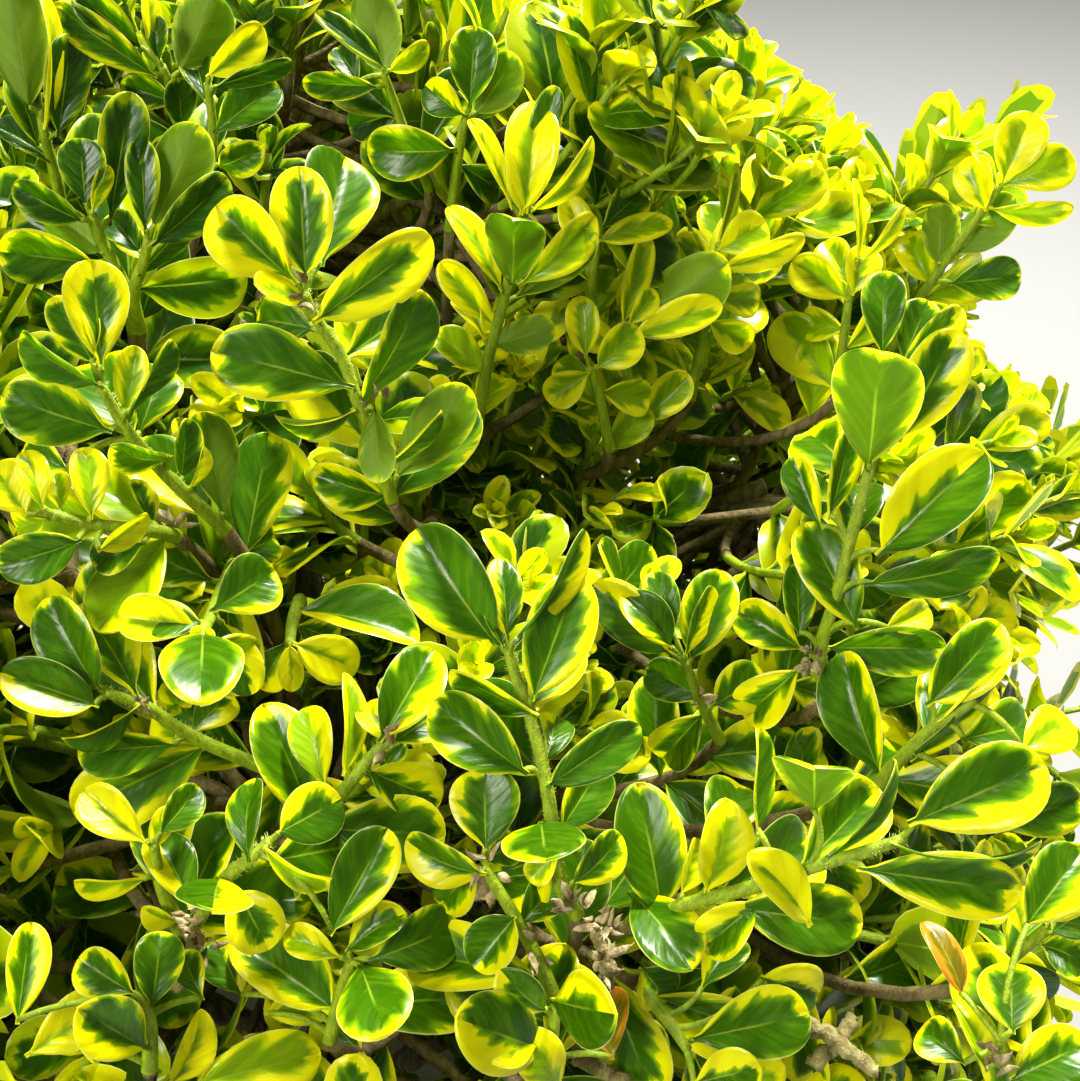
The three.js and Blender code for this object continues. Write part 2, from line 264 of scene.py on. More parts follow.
tint.links.new(moved(tint, clouds, GLOSS_ENDS, PLAIN_GLOSS), tint_out.inputs["Roughness"])
print("group", tint.name, "with", len(tint.nodes), "nodes")

# %% [markdown]
# ## The green middle of a leaf
# The green of such a leaf ends in ragged fingers that follow the side veins, darker inside and streaky at
# its border, and the yellow rim is wider at the tip. It could be painted, but here a few sums on the leaf's
# own map draw it, so each leaf is different. A noise drawn out along the veins makes the fingers: it is
# added to the distance from the rib, and where the sum is less than the leaf's green share, the leaf is
# green.

# %% The variegated blade group and what it reads
# The map gives u along the rib and v across. The attribute gives three numbers of the leaf: a seed, how far
# the green reaches towards the edge, and how much more it does so on one side.
blade, blade_in, blade_out = new_group(
    "variegated blade",
    [("Margin", "NodeSocketColor", (1, 1, 0, 1)), ("Streak", "NodeSocketColor", (0.2, 0.5, 0, 1)),
     ("Centre", "NodeSocketColor", (0, 0.2, 0, 1)), ("Rib", "NodeSocketColor", (0.5, 0.7, 0.1, 1)),
     ("Edge highlight", "NodeSocketColor", (0.9, 0.9, 0.5, 1))],
    [("Color", "NodeSocketColor"), ("Roughness", "NodeSocketFloat"), ("Height", "NodeSocketFloat")])
own_map = node(blade, "ShaderNodeUVMap", uv_map="blade").outputs[0]
own_numbers = node(blade, "ShaderNodeAttribute", attribute_name="leaf").outputs["Vector"]
along, map_v, unused = node(blade, "ShaderNodeSeparateXYZ", {0: own_map}).outputs
seed, green_share, lopsided = node(blade, "ShaderNodeSeparateXYZ", {0: own_numbers}).outputs
across = maths(blade, "MULTIPLY_ADD", map_v, 2.0, -1.0)
off_rib = maths(blade, "ABSOLUTE", across)
side = maths(blade, "SIGN", across)
print("group", blade.name, "puts out", [socket.name for socket in blade_out.inputs if socket.name])

# %% Fingers along the veins
VEINS_LEAN = -0.34
FINGERS_ALONG, FINGERS_ACROSS = 11.0, 1.3
SIDES_APART, LEAVES_APART = 4.0, 60.0
swept = maths(blade, "MULTIPLY_ADD", off_rib, VEINS_LEAN, along)
streaked = node(blade, "ShaderNodeCombineXYZ", {
    0: maths(blade, "MULTIPLY", swept, FINGERS_ALONG),
    1: maths(blade, "MULTIPLY_ADD", off_rib, FINGERS_ACROSS, maths(blade, "MULTIPLY", side, SIDES_APART)),
    2: maths(blade, "MULTIPLY", seed, LEAVES_APART)}).outputs[0]
fingers = node(blade, "ShaderNodeTexNoise", {"Vector": streaked, "Scale": 1.0, "Detail": 4.0,
                                             "Roughness": 0.62}).outputs["Fac"]
broad = node(blade, "ShaderNodeTexNoise", {"Vector": streaked, "Scale": 0.42, "Detail": 1.0}).outputs["Fac"]
print("two noises, the finer with", FINGERS_ALONG, "cells along a leaf")

# %% Where the green ends
YELLOW_TIP, TIP_WEIGHT = (0.72, 1.06), 1.25
YELLOW_FOOT, FOOT_STEEPNESS = 0.75, 7.0
FINGER_DEPTH, BROAD_DEPTH = 0.52, 0.95
GREEN_BORDER, DARK_BORDER, DARK_FINGERS = (-0.05, 0.06), (0.28, 0.52), 0.5
to_tip = maths(blade, "MULTIPLY", moved(blade, along, YELLOW_TIP, smooth=True), TIP_WEIGHT)
to_foot = maths(blade, "SUBTRACT", YELLOW_FOOT, maths(blade, "MULTIPLY", along, FOOT_STEEPNESS))
edge = maths(blade, "MAXIMUM", maths(blade, "MAXIMUM", off_rib, to_tip), to_foot)
rough_edge = maths(blade, "ADD", maths(blade, "MULTIPLY_ADD", fingers, FINGER_DEPTH, -FINGER_DEPTH / 2),
                   maths(blade, "MULTIPLY_ADD", broad, BROAD_DEPTH, -BROAD_DEPTH / 2))
reach = maths(blade, "MULTIPLY_ADD", side, lopsided, green_share)
inside = maths(blade, "SUBTRACT", reach, maths(blade, "ADD", edge, rough_edge))
green_mask = moved(blade, inside, GREEN_BORDER, smooth=True)
streaky_inside = maths(blade, "MULTIPLY_ADD", fingers, DARK_FINGERS, inside)
dark_mask = moved(blade, streaky_inside, DARK_BORDER, smooth=True)
print("the green fades over", GREEN_BORDER, "of half a leaf's width")

# %% Colours, gloss and relief of the blade
PALE_STREAKS, PALENESS = (0.42, 0.78), -0.34
RIB_EDGE, RIB_ENDS, RIB_STRENGTH = (0.015, 0.05), (0.5, 0.95), 0.55
EDGE_HIGHLIGHT_BAND, EDGE_HIGHLIGHT_STRENGTH = (0.955, 0.99), 0.7
CLOUD_SHADES, FEATHERED_GLOSS = (0.84, 1.14), (0.2, 0.36)
VEINS_ALONG, VEIN_HEIGHT, BROAD_HEIGHT = 75.0, 0.05, 4.0
shown = mixed(blade, green_mask, blade_in.outputs["Margin"], blade_in.outputs["Streak"])
paler = maths(blade, "MULTIPLY_ADD", moved(blade, fingers, PALE_STREAKS, smooth=True), PALENESS, 1.0)
shown = mixed(blade, maths(blade, "MULTIPLY", dark_mask, paler), shown, blade_in.outputs["Centre"])
rib_mask = maths(blade, "SUBTRACT", 1.0, moved(blade, off_rib, RIB_EDGE, smooth=True))
rib_fades = maths(blade, "SUBTRACT", RIB_STRENGTH, moved(blade, along, RIB_ENDS, smooth=True))
rib_shown = maths(blade, "MULTIPLY", rib_mask, rib_fades, clamp=True)
shown = mixed(blade, rib_shown, shown, blade_in.outputs["Rib"])
# A pale line along the very edge of each leaf is a painted highlight.
edge_highlight_mask = maths(blade, "MULTIPLY", moved(blade, off_rib, EDGE_HIGHLIGHT_BAND, smooth=True), EDGE_HIGHLIGHT_STRENGTH)
shown = mixed(blade, edge_highlight_mask, shown, blade_in.outputs["Edge highlight"])
shown = mixed(blade, 1.0, shown, moved(blade, broad, GLOSS_ENDS, CLOUD_SHADES), "MULTIPLY")
veins = maths(blade, "SINE", maths(blade, "MULTIPLY", swept, VEINS_ALONG))
relief = maths(blade, "MULTIPLY_ADD", veins, VEIN_HEIGHT, fingers)
relief = maths(blade, "MULTIPLY_ADD", broad, BROAD_HEIGHT, relief)
blade.links.new(shown, blade_out.inputs["Color"])
blade.links.new(moved(blade, fingers, GLOSS_ENDS, FEATHERED_GLOSS), blade_out.inputs["Roughness"])
blade.links.new(relief, blade_out.inputs["Height"])
print("group", blade.name, "with", len(blade.nodes), "nodes")

# %% [markdown]
# ## Leaf finishes
# A Principled shader alone would leave a leaf dark against the light, so each finish mixes in a Translucent
# one for the glow. Backfacing, a number of the Geometry node, is 1 below the leaf: there the colour turns
# paler and the gloss goes. The colour comes from one of the two groups, so a finish is only a name and a
# few colours.

# %% The shader of a leaf
GLOW_SHARE = 0.34
UNDERSIDE, UNDERSIDE_SHARE = colour(132, 164, 22), 0.75
UNDERSIDE_ROUGHNESS, LEAF_SPECULAR = 0.62, 0.42
RELIEF_HEIGHT, RELIEF_STRENGTH = 0.00012, 0.6


def leaf_material(name, group, colours, below, glow, below_share=1.0, relief=False):
    """Glossy above, dull and paler below, with light that comes through it in the colour of glow."""
    material = bpy.data.materials.new(name)
    material.use_nodes = True
    tree = material.node_tree
    tree.nodes.clear()
    pattern = node(tree, "ShaderNodeGroup", node_tree=group)
    for label, value in colours.items():
        pattern.inputs[label].default_value = value
    back = node(tree, "ShaderNodeNewGeometry").outputs["Backfacing"]
    shown = mixed(tree, maths(tree, "MULTIPLY", back, below_share), pattern.outputs["Color"], below)
    dull = maths(tree, "MAXIMUM", pattern.outputs["Roughness"], back)
    dull = maths(tree, "MINIMUM", dull, UNDERSIDE_ROUGHNESS)
    surface = node(tree, "ShaderNodeBsdfPrincipled", {"Base Color": shown, "Roughness": dull,
                                                      "Specular IOR Level": LEAF_SPECULAR})
    if relief:
        bump = node(tree, "ShaderNodeBump", {"Height": pattern.outputs["Height"], "Distance": RELIEF_HEIGHT,
                                             "Strength": RELIEF_STRENGTH})
        tree.links.new(bump.outputs[0], surface.inputs["Normal"])
    if group == blade:
        glow = mixed(tree, 1.0, pattern.outputs["Color"], glow, "MULTIPLY")
    through = node(tree, "ShaderNodeBsdfTranslucent", {"Color": glow})
    both = node(tree, "ShaderNodeMixShader", {0: GLOW_SHARE, 1: surface.outputs[0], 2: through.outputs[0]})
    node(tree, "ShaderNodeOutputMaterial", {"Surface": both.outputs[0]})
    material.diffuse_color = list(colours.values())[0]
    return material


# Two colours that alternate in clouds, the underside and the glow.
# The lit copies of margin and centre are painted light, and the darker copies are painted shade.
PLAIN_FINISHES = {
    "margin_bright": ((240, 236, 2), (222, 230, 2), (206, 210, 40), (250, 250, 10)),
    "margin_deep": ((186, 202, 2), (160, 184, 2), (166, 180, 24), (214, 232, 8)),
    "centre_bright": ((80, 126, 2), (98, 144, 2), (140, 164, 44), (170, 215, 4)),
    "centre_deep": ((40, 82, 2), (54, 98, 2), (104, 134, 24), (112, 168, 2)),
    "margin_young": ((248, 242, 4), (234, 236, 4), (214, 218, 40), (252, 252, 10)),
    "young": ((160, 192, 2), (192, 214, 2), (170, 190, 40), (225, 248, 8)),
}
leaf_finish = {}
for name, screen_colours in PLAIN_FINISHES.items():
    base, other, below, glow = (colour(*screen) for screen in screen_colours)
    colours = {"Base": base, "Other": other}
    leaf_finish[name] = leaf_material(f"leaf {name.replace('_', ' ')}", tint, colours, below, glow)
print("plain leaf finishes", list(leaf_finish))

# %% Finishes with a feathered green middle
# The rim's yellow, the streaky border of the green, and the green inside it.
FEATHERED_FINISHES = {
    "grown": ((246, 241, 2), (132, 178, 2), (58, 106, 2)),
    "young": ((252, 247, 4), (206, 224, 2), (138, 178, 2)),
    # A darker copy of the grown finish: painted shade.
    "shaded": ((172, 188, 2), (92, 136, 2), (36, 78, 2)),
    # A lighter copy for the leaves round a lit place: painted light.
    "lime": ((246, 242, 4), (178, 210, 2), (112, 158, 2)),
    "autumn": ((236, 148, 34), (206, 150, 30), (120, 112, 18)),
}
# The pale colour along a leaf's very edge is a painted highlight.
RIB, EDGE_HIGHLIGHT, FEATHERED_GLOW = colour(176, 206, 56), colour(246, 246, 150), (1.25, 1.25, 0.7, 1)
# Only the leaves right in front have relief, because its noises take time.
for place, relief, kinds in (("front", True, ("grown", "young", "shaded", "autumn")),
                             ("near", False, ("grown", "young", "shaded", "lime"))):
    for kind in kinds:
        margin, streak, centre = (colour(*screen) for screen in FEATHERED_FINISHES[kind])
        colours = {"Margin": margin, "Streak": streak, "Centre": centre, "Rib": RIB, "Edge highlight": EDGE_HIGHLIGHT}
        leaf_finish[f"{place}_{kind}"] = leaf_material(f"{place} leaf {kind}", blade, colours, UNDERSIDE,
                                                       FEATHERED_GLOW, UNDERSIDE_SHARE, relief)
print("all leaf finishes", sorted(leaf_finish))

# %% [markdown]
# ## Bark
# Old box bark is grey-brown and furrowed along the limb, and a young twig's is smoother and greener.
# Photographs of bark would need a map for each limb. A noise on Object coordinates needs none: drawn out
# along z it makes the furrows, which set both the colour and a bump, and a finer one speckles them.

# %% Bark finishes
BARK_DRAWN_OUT = (1.0, 1.0, 0.22)
FURROW_BORDER = (0.4, 0.6)
SPECKS_A_FURROW = 3.5
SPECK_DARK, SPECK_LIGHT = (0.72, 0.72, 0.72, 1), (1.25, 1.25, 1.2, 1)


def bark_material(name, ridge, furrow, furrows_per_metre, depth, roughness=0.9):
    material = bpy.data.materials.new(name)
    material.use_nodes = True
    tree = material.node_tree
    surface = tree.nodes["Principled BSDF"]
    place = node(tree, "ShaderNodeTexCoord").outputs["Object"]
    drawn_out = node(tree, "ShaderNodeMapping", {"Vector": place, "Scale": BARK_DRAWN_OUT}).outputs[0]
    furrows = node(tree, "ShaderNodeTexNoise", {
        "Vector": drawn_out, "Scale": furrows_per_metre, "Detail": 5.0, "Roughness": 0.62}).outputs["Fac"]
    specks = node(tree, "ShaderNodeTexNoise", {
        "Vector": place, "Scale": furrows_per_metre * SPECKS_A_FURROW, "Detail": 4.0}).outputs["Fac"]
    shade = mixed(tree, moved(tree, furrows, FURROW_BORDER), furrow, ridge)
    speckled = mixed(tree, specks, SPECK_DARK, SPECK_LIGHT)
    tree.links.new(mixed(tree, 1.0, shade, speckled, "MULTIPLY"), surface.inputs["Base Color"])
    bump = node(tree, "ShaderNodeBump", {"Height": maths(tree, "ADD", furrows, specks), "Distance": depth,
                                         "Strength": 0.9})
    tree.links.new(bump.outputs[0], surface.inputs["Normal"])
    surface.inputs["Roughness"].default_value = roughness
    material.diffuse_color = ridge
    return material


old_bark = bark_material("furrowed bark", colour(168, 154, 118), colour(92, 80, 56), 260.0, 0.0012)
twig_bark = bark_material("twig bark", colour(164, 156, 104), colour(120, 108, 66), 700.0, 0.0004)
# The shaded twig bark is a darker copy of the twig bark for the stems down in the crown: painted shade.
shaded_bark = bark_material("shaded twig bark", colour(128, 114, 72), colour(92, 78, 48), 700.0, 0.0004)
green_stem = bark_material("green stem", colour(158, 182, 24), colour(122, 148, 10), 900.0, 0.0002, 0.55)
dry_scale = bark_material("dry bud scale", colour(192, 178, 140), colour(128, 106, 74), 900.0, 0.0002)
hair_finish = bark_material("stem hair", colour(214, 224, 150), colour(196, 208, 120), 900.0, 0.0)
print("bark finishes", [finish.name for finish in (old_bark, twig_bark, shaded_bark, green_stem)])

# %% [markdown]
# ## Trunk and boughs
# The trunk of an old box bush is short, bowed and furrowed, and flares into the soil. It could be a curve
# with a bevel, but that has no room for relief. Here a flat grid is rolled up round the limb's line
# instead, so each of its corners can be pushed in or out by the furrows, and the seam is then welded shut.

# %% Curves
def smooth_line(points, along):
    """Points of a smooth curve through some points, with the knots set by the root of their gaps."""
    ends = np.vstack([2 * points[0] - points[1], points, 2 * points[-1] - points[-2]])
    spot = np.clip(np.atleast_1d(along), 0, 1) * (len(points) - 1)
    first = np.minimum(spot.astype(int), len(points) - 2)
    t = (spot - first)[:, None]
    a, b, c, d = (ends[first + k] for k in range(4))
    ab, bc, cd = (np.sqrt(np.linalg.norm(q - p, axis=1))[:, None] for p, q in ((a, b), (b, c), (c, d)))
    leave = ((b - a) / ab - (c - a) / (ab + bc) + (c - b) / bc) * bc
    arrive = ((c - b) / bc - (d - b) / (bc + cd) + (d - c) / cd) * bc
    square = -3 * b + 3 * c - 2 * leave - arrive
    cube = 2 * b - 2 * c + leave + arrive
    return b + leave * t + square * t**2 + cube * t**3


def bezier(foot, bend, tip, t):
    """Points of a quadratic curve, or of arrays of curves, where t gives one more axis."""
    foot, bend, tip = (np.asarray(p)[..., None, :] for p in (foot, bend, tip))
    t = np.asarray(t)[..., None]
    return foot * (1 - t) ** 2 + 2 * bend * t * (1 - t) + tip * t**2


half_way = bezier([0, 0, 0], [0, 0, 1], [1, 0, 1], [0.5])[0]
print("a curve's middle", [round(float(v), 3) for v in half_way])

# %% Lines of the trunk and the boughs, as the solids have them
TRUNK_POINTS = np.array([[0, 0, 0], [0, 0, TRUNK_TOP * 0.12], [-5, 6, TRUNK_TOP * 0.5],
                         [7, -4, TRUNK_TOP]], float)
TRUNK_FOOT_RADIUS, TRUNK_TIP_RADIUS = 15, 6
FLARE_RADIUS, FLARE_HEIGHT, FLARE_LOBES = 10, 26, 5
BOUGH_TIP_DISTANCE, BOUGH_FOOT_RADIUS, BOUGH_TIP_RADIUS = 98, 5.4, 3.4
BOUGH_OUTWARD, BOUGH_RISE, TOP_BOUGH_AHEAD = 34, 0.36, 40


def trunk_line(along):
    return smooth_line(TRUNK_POINTS, along)


def bough_points(name, way, height):
    """A bough leaves the trunk level and bends up to its mass. The top one goes on where the trunk ends."""
    foot = trunk_line(height / TRUNK_TOP)[0]
    tip = way * BOUGH_TIP_DISTANCE + CROWN_CENTRE
    if name == "top":
        ahead = unit(trunk_line(1.0)[0] - trunk_line(0.99)[0])
        return foot, foot + ahead * TOP_BOUGH_AHEAD, tip
    bend = foot + np.array([way[0] * BOUGH_OUTWARD, way[1] * BOUGH_OUTWARD, 0])
    bend[2] = foot[2] + (tip[2] - foot[2]) * BOUGH_RISE
    return foot, bend, tip


bough_lines = {name: bough_points(name, way, height) for name, way, height in masses}
print("boughs leave the trunk at", sorted(round(height) for name, way, height in masses), "mm")

# %% A rolled limb with furrows
LINE_STEP = 0.01
SEAM_SIDE = [0.02, 1.0, 0.03]
FURROWS_DRAWN_OUT = np.array([1, 1, 0.2])
# How fast finer waves fade, how much finer each one is, and how many there are.
FURROW_NOISE = (0.6, 2.1, 4)
WELD = 1e-6


def place_piece(name, mesh, material):
    """Links a finished mesh as a piece of the plant, riding on its one body."""
    mesh.materials.append(material)
    piece = bpy.data.objects.new(name, mesh)
    bpy.context.scene.collection.objects.link(piece)
    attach(piece, "root")
    return piece


def rolled_limb(name, line_at, radius_at, around, steps, furrow_depth, furrow_size):
    """A closed limb rolled up from a grid: line_at gives points along it, radius_at its radius there."""
    bm = bmesh.new()
    bmesh.ops.create_grid(bm, x_segments=around, y_segments=steps, size=0.5)
    corners = np.array([v.co for v in bm.verts])
    angle, along = (corners[:, 0] + 0.5) * 2 * math.pi, corners[:, 1] + 0.5
    middle = line_at(along)
    ahead = unit(line_at(np.minimum(along + LINE_STEP, 1)) - line_at(np.maximum(along - LINE_STEP, 0)))
    sideways = unit(np.cross(ahead, SEAM_SIDE))
    across = np.cross(sideways, ahead)
    outward = sideways * np.cos(angle)[:, None] + across * np.sin(angle)[:, None]
    surface = middle + outward * radius_at(along, angle)[:, None]
    drawn_out = surface * furrow_size * FURROWS_DRAWN_OUT
    depth = np.array([noise.fractal(Vector(spot), *FURROW_NOISE) for spot in drawn_out])
    surface += outward * (depth * furrow_depth)[:, None]
    surface[:, 2] = np.maximum(surface[:, 2], 0)
    for vertex, spot in zip(bm.verts, surface * MM):
        vertex.co = spot
    bmesh.ops.remove_doubles(bm, verts=bm.verts, dist=WELD)
    bmesh.ops.holes_fill(bm, edges=[e for e in bm.edges if e.is_boundary], sides=0)
    bmesh.ops.recalc_face_normals(bm, faces=bm.faces)
    for face in bm.faces:
        face.smooth = len(face.verts) == 4
    mesh = bpy.data.meshes.new(name)
    bm.to_mesh(mesh)
    bm.free()
    return mesh


print("a limb's furrows are drawn out", round(1 / FURROWS_DRAWN_OUT[2]), "times along it")

# %% The trunk
LOBE_DEPTH, LOBE_TURN = 0.3, 0.7


def trunk_radius(along, angle):
    """Tapered, with a flare of a few lobes at the foot."""
    taper = TRUNK_FOOT_RADIUS + (TRUNK_TIP_RADIUS - TRUNK_FOOT_RADIUS) * along
    flare = np.maximum(0, 1 - along * TRUNK_TOP / FLARE_HEIGHT) ** 2
    lobes = 1 - LOBE_DEPTH + LOBE_DEPTH * np.cos(FLARE_LOBES * angle + LOBE_TURN)
    return taper + FLARE_RADIUS * flare * lobes


trunk_mesh = rolled_limb("trunk_bark", trunk_line, trunk_radius, around=64, steps=96, furrow_depth=1.1,
                         furrow_size=0.16)
trunk = place_piece("trunk_bark", trunk_mesh, old_bark)
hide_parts("trunk")
print("trunk", len(trunk.data.polygons), "faces")

# %% The boughs
COLLAR_RADIUS, COLLAR_FADE = 2.2, 16


def bough_radius(along, angle):
    """Tapered, with a swollen collar at the trunk."""
    taper = BOUGH_FOOT_RADIUS + (BOUGH_TIP_RADIUS - BOUGH_FOOT_RADIUS) * along
    return taper + COLLAR_RADIUS * np.exp(-along * COLLAR_FADE)


for name, way, height in masses:
    mesh = rolled_limb(f"bark_bough_{name}", lambda t: bezier(*bough_lines[name], t), bough_radius,
                       around=22, steps=40, furrow_depth=0.5, furrow_size=0.3)
    bough = place_piece(f"bark_bough_{name}", mesh, old_bark)
    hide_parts(f"bough_{name}")
print(len(masses), "boughs of", len(mesh.polygons), "faces")

# %% [markdown]
# ## One box leaf
# A box leaf is egg-shaped with its broad end outwards, on a very short stalk, folded a little along its
# middle rib, with the edge turned down. Each leaf is a flat grid that is pulled into this shape: its rows
# run along the leaf, and its columns from edge to edge. A leaf near the camera keeps the grid's two shares
# as its own map, which its finish reads to draw the ragged green middle.

# %% The shape of a blade
LEAF_WIDTH_SHARE = 0.56
STALK_SHARE, STALK_WIDTH, STALK_END = 0.07, 0.09, 0.3
BLUNTNESS = 0.48
CROWDED_EDGES = 0.8
FOLD_CURVE, FOLD_HEIGHT = 1.15, 0.62
RIPPLE_HEIGHT, RIPPLES, RIPPLE_START = 0.012, 9, 40
RIB_SINKS, RIB_REACH = 0.014, 0.14
EDGE_DROPS, EDGE_STEEPNESS = 0.03, 5


def half_width(u, broadest):
    """Half of a leaf's width at a share u of its length of 1, with its broadest place at a share."""
    s = np.clip((u - STALK_SHARE) / (1 - STALK_SHARE), 0, 1)
    wedge = 0.5 * broadest / (1 - broadest)
    width = s**wedge * (1 - s) ** BLUNTNESS / (broadest**wedge * (1 - broadest) ** BLUNTNESS)
    return LEAF_WIDTH_SHARE / 2 * np.maximum(width, STALK_WIDTH * (u < STALK_END))


def leaf_grid(rows, columns):
    """A grid's corners as shares along (0 to 1) and across (-1 to 1) a leaf, and its faces."""
    bm = bmesh.new()
    bmesh.ops.create_grid(bm, x_segments=rows, y_segments=columns, size=0.5)
    along = np.array([0.5 - 0.5 * math.cos(math.pi * (v.co.x + 0.5)) for v in bm.verts])
    across = np.array([math.copysign(abs(v.co.y * 2) ** CROWDED_EDGES, v.co.y) for v in bm.verts])
    faces = np.array([[v.index for v in f.verts] for f in bm.faces])
    bm.free()
    return along, across, faces


def leaf_corners(grid, width, cup, bend, twist, broadest):
    """Corners of a leaf of length 1 along x that faces z. Its width is a share of its length."""
    u, v, faces = grid
    y = v * half_width(u, broadest) * width / LEAF_WIDTH_SHARE
    fold = cup * np.abs(y) ** FOLD_CURVE * FOLD_HEIGHT
    arch = bend * (u**2 - u) * 2 + bend * 0.5 * u
    ripple = RIPPLE_HEIGHT * v**2 * np.sin(u * RIPPLES + twist * RIPPLE_START + v)
    beside_rib = RIB_SINKS * np.minimum(1, np.abs(v) / RIB_REACH)
    edge = EDGE_DROPS * np.clip(np.abs(v) * EDGE_STEEPNESS - EDGE_STEEPNESS + 1, 0, 1) ** 2
    return np.stack([u, y, fold - arch + twist * y * u + ripple + beside_rib - edge], 1)


print("a leaf of 20 mm is", round(20 * 2 * float(half_width(0.6, 0.6)), 1), "mm wide")

# %% Shapes for the leaves near the camera
# A random leaf near the camera is a copy of one of these, turned and stretched. Ranges of the fold, the
# bend, the twist and the broadest place.
LEAF_SHAPES = 14
SHAPE_RANGES = ((0.2, 0.9), (-0.05, 0.3), (-0.2, 0.2), (0.54, 0.66))
near_grid = leaf_grid(10, 6)
draw = np.random.default_rng(55)
near_shapes = []
for number in range(LEAF_SHAPES):
    shape = [draw.uniform(*ends) for ends in SHAPE_RANGES]
    near_shapes.append(leaf_corners(near_grid, LEAF_WIDTH_SHARE, *shape))
near_shapes = np.array(near_shapes)
print(LEAF_SHAPES, "shapes of", len(near_grid[2]), "faces")

# %% [markdown]
# ## Leaves further off
# The thousands of leaves further off get fewer faces, and their colours lie in these: the columns of the
# grid are pulled to the ragged outline of the green middle. So the colours meet along real edges, and each
# colour is a piece with a plain finish, which keeps its place when the model is exported.

# %% Far leaves with their colours in their faces
MARGIN, CENTRE = 0, 1
VEINS_SWEEP = 0.2
FAR_ROWS, FAR_COLUMNS = np.array([0, 0.2, 0.5, 0.8, 0.96, 1]), 4
# Ranges of the green share, the fold, the bend, the twist, the green's lean and the broadest place.
FAR_RANGES = ((0.62, 0.88), (0.1, 0.5), (-0.06, 0.2), (-0.1, 0.1), (-0.2, 0.2), (0.54, 0.66))
GREEN_WANDER, GREEN_JITTER = 0.045, 0.02
GREEN_LEAST, GREEN_MOST = 0.28, 0.93
TIP_CLOSES_AT, TIP_CLOSES_OVER = 0.97, 0.3
FAR_FOLD_CURVE, FAR_FOLD_HEIGHT = 1.4, 1.2
FAR_EDGE_DROPS, FAR_RIB_SINKS = 0.012, 0.01
FAR_WELD = 2e-4


def green_outline(draw, green, lean):
    """How far the green reaches on each side of the rib, row by row: it wanders, and closes at the tip."""
    sides, rows = np.array([[1], [-1]]), len(FAR_ROWS)
    wander = np.cumsum(draw.normal(0, GREEN_WANDER, (2, rows)), 1) + draw.normal(0, GREEN_JITTER, (2, rows))
    outline = np.clip(green + wander - wander.mean() + lean * sides, GREEN_LEAST, GREEN_MOST)
    return outline * np.sqrt(np.clip((TIP_CLOSES_AT - FAR_ROWS) / TIP_CLOSES_OVER, 0.01, 1))


def far_leaf(number):
    """The leaf's corners and, for each colour, its faces, from a grid."""
    draw = np.random.default_rng(100 + number)
    green, cup, bend, twist, lean, broadest = (draw.uniform(*ends) for ends in FAR_RANGES)
    outline = green_outline(draw, green, lean)
    bm = bmesh.new()
    bmesh.ops.create_grid(bm, x_segments=len(FAR_ROWS) - 1, y_segments=FAR_COLUMNS, size=0.5)
    cell = {}
    for vertex in bm.verts:
        i = round((vertex.co.x + 0.5) * (len(FAR_ROWS) - 1))
        j = round((vertex.co.y + 0.5) * FAR_COLUMNS) - FAR_COLUMNS // 2
        cell[vertex] = (i, j)
        v = (0, outline[int(j > 0), i], 1)[abs(j)] * (1 if j > 0 else -1)
        u = FAR_ROWS[i] + VEINS_SWEEP * abs(v) * (1 - abs(v)) * math.sin(math.pi * FAR_ROWS[i])
        y = v * half_width(u, broadest)
        z = cup * abs(y) ** FAR_FOLD_CURVE * FAR_FOLD_HEIGHT - bend * u**2 + twist * y * u
        on_edge, on_rib = abs(j) == FAR_COLUMNS // 2, j == 0 and 0.1 < u < 0.95
        z -= FAR_EDGE_DROPS * on_edge + FAR_RIB_SINKS * on_rib
        vertex.co = (u, y, z)
    for face in bm.faces:
        i = min(cell[v][0] for v in face.verts)
        j = max(abs(cell[v][1]) for v in face.verts)
        at_an_end = i == 0 or i >= len(FAR_ROWS) - 3
        face.material_index = MARGIN if at_an_end or j == FAR_COLUMNS // 2 else CENTRE
    bmesh.ops.remove_doubles(bm, verts=bm.verts, dist=FAR_WELD)
    bm.verts.index_update()
    corners = np.array([v.co for v in bm.verts])
    faces = [(f.material_index, [v.index for v in f.verts]) for f in bm.faces]
    bm.free()
    parts = {}
    for part in (MARGIN, CENTRE):
        own = [f for kind, f in faces if kind == part]
        used = np.unique(np.concatenate(own))
        parts[part] = (corners[used], np.searchsorted(used, np.concatenate(own)), [len(f) for f in own])
    return parts


far_leaves = [far_leaf(k) for k in range(LEAF_SHAPES)]
print("far leaf faces", sum(len(part[2]) for part in far_leaves[0].values()))

# %% [markdown]
# ## Shoots
# The crown is grown again from the ends of the boughs: a stem to each mass, a woody twig to each leader,
# and from these the young shoots, which end close to the ball except round a leader, where they run out
# with it. There are far more of them than could be modelled one by one, so their curves are worked out
# together as arrays, and the tubes of all the shoots are joined into a few meshes.

# %% How many shoots, and where they end
# Most shoots end near the ball's surface. The inner ones end deeper and close the view to the floor.
SURFACE_SHOOTS, INNER_SHOOTS = 1750, 480
SHOOTS = SURFACE_SHOOTS + INNER_SHOOTS
SHOOT_DIP, INNER_DIP = (-24, 4), (-64, -34)
# Round this pixel the shoots stand closer and their leaves are smaller. The width is in pixels too.
SMALL_PLACE, SMALL_WIDTH, CROWDED_SHOOTS = (590, 430), 140, 34
CROWDED_DISTANCE = 260
# Without more inner shoots the floor would show at these pixels. The third number is a distance in mm.
THIN_PLACES = ((371, 803, 235), (418, 734, 240), (427, 900, 230), (468, 975, 230), (330, 447, 250),
               (744, 762, 240), (499, 807, 235), (1076, 759, 260))
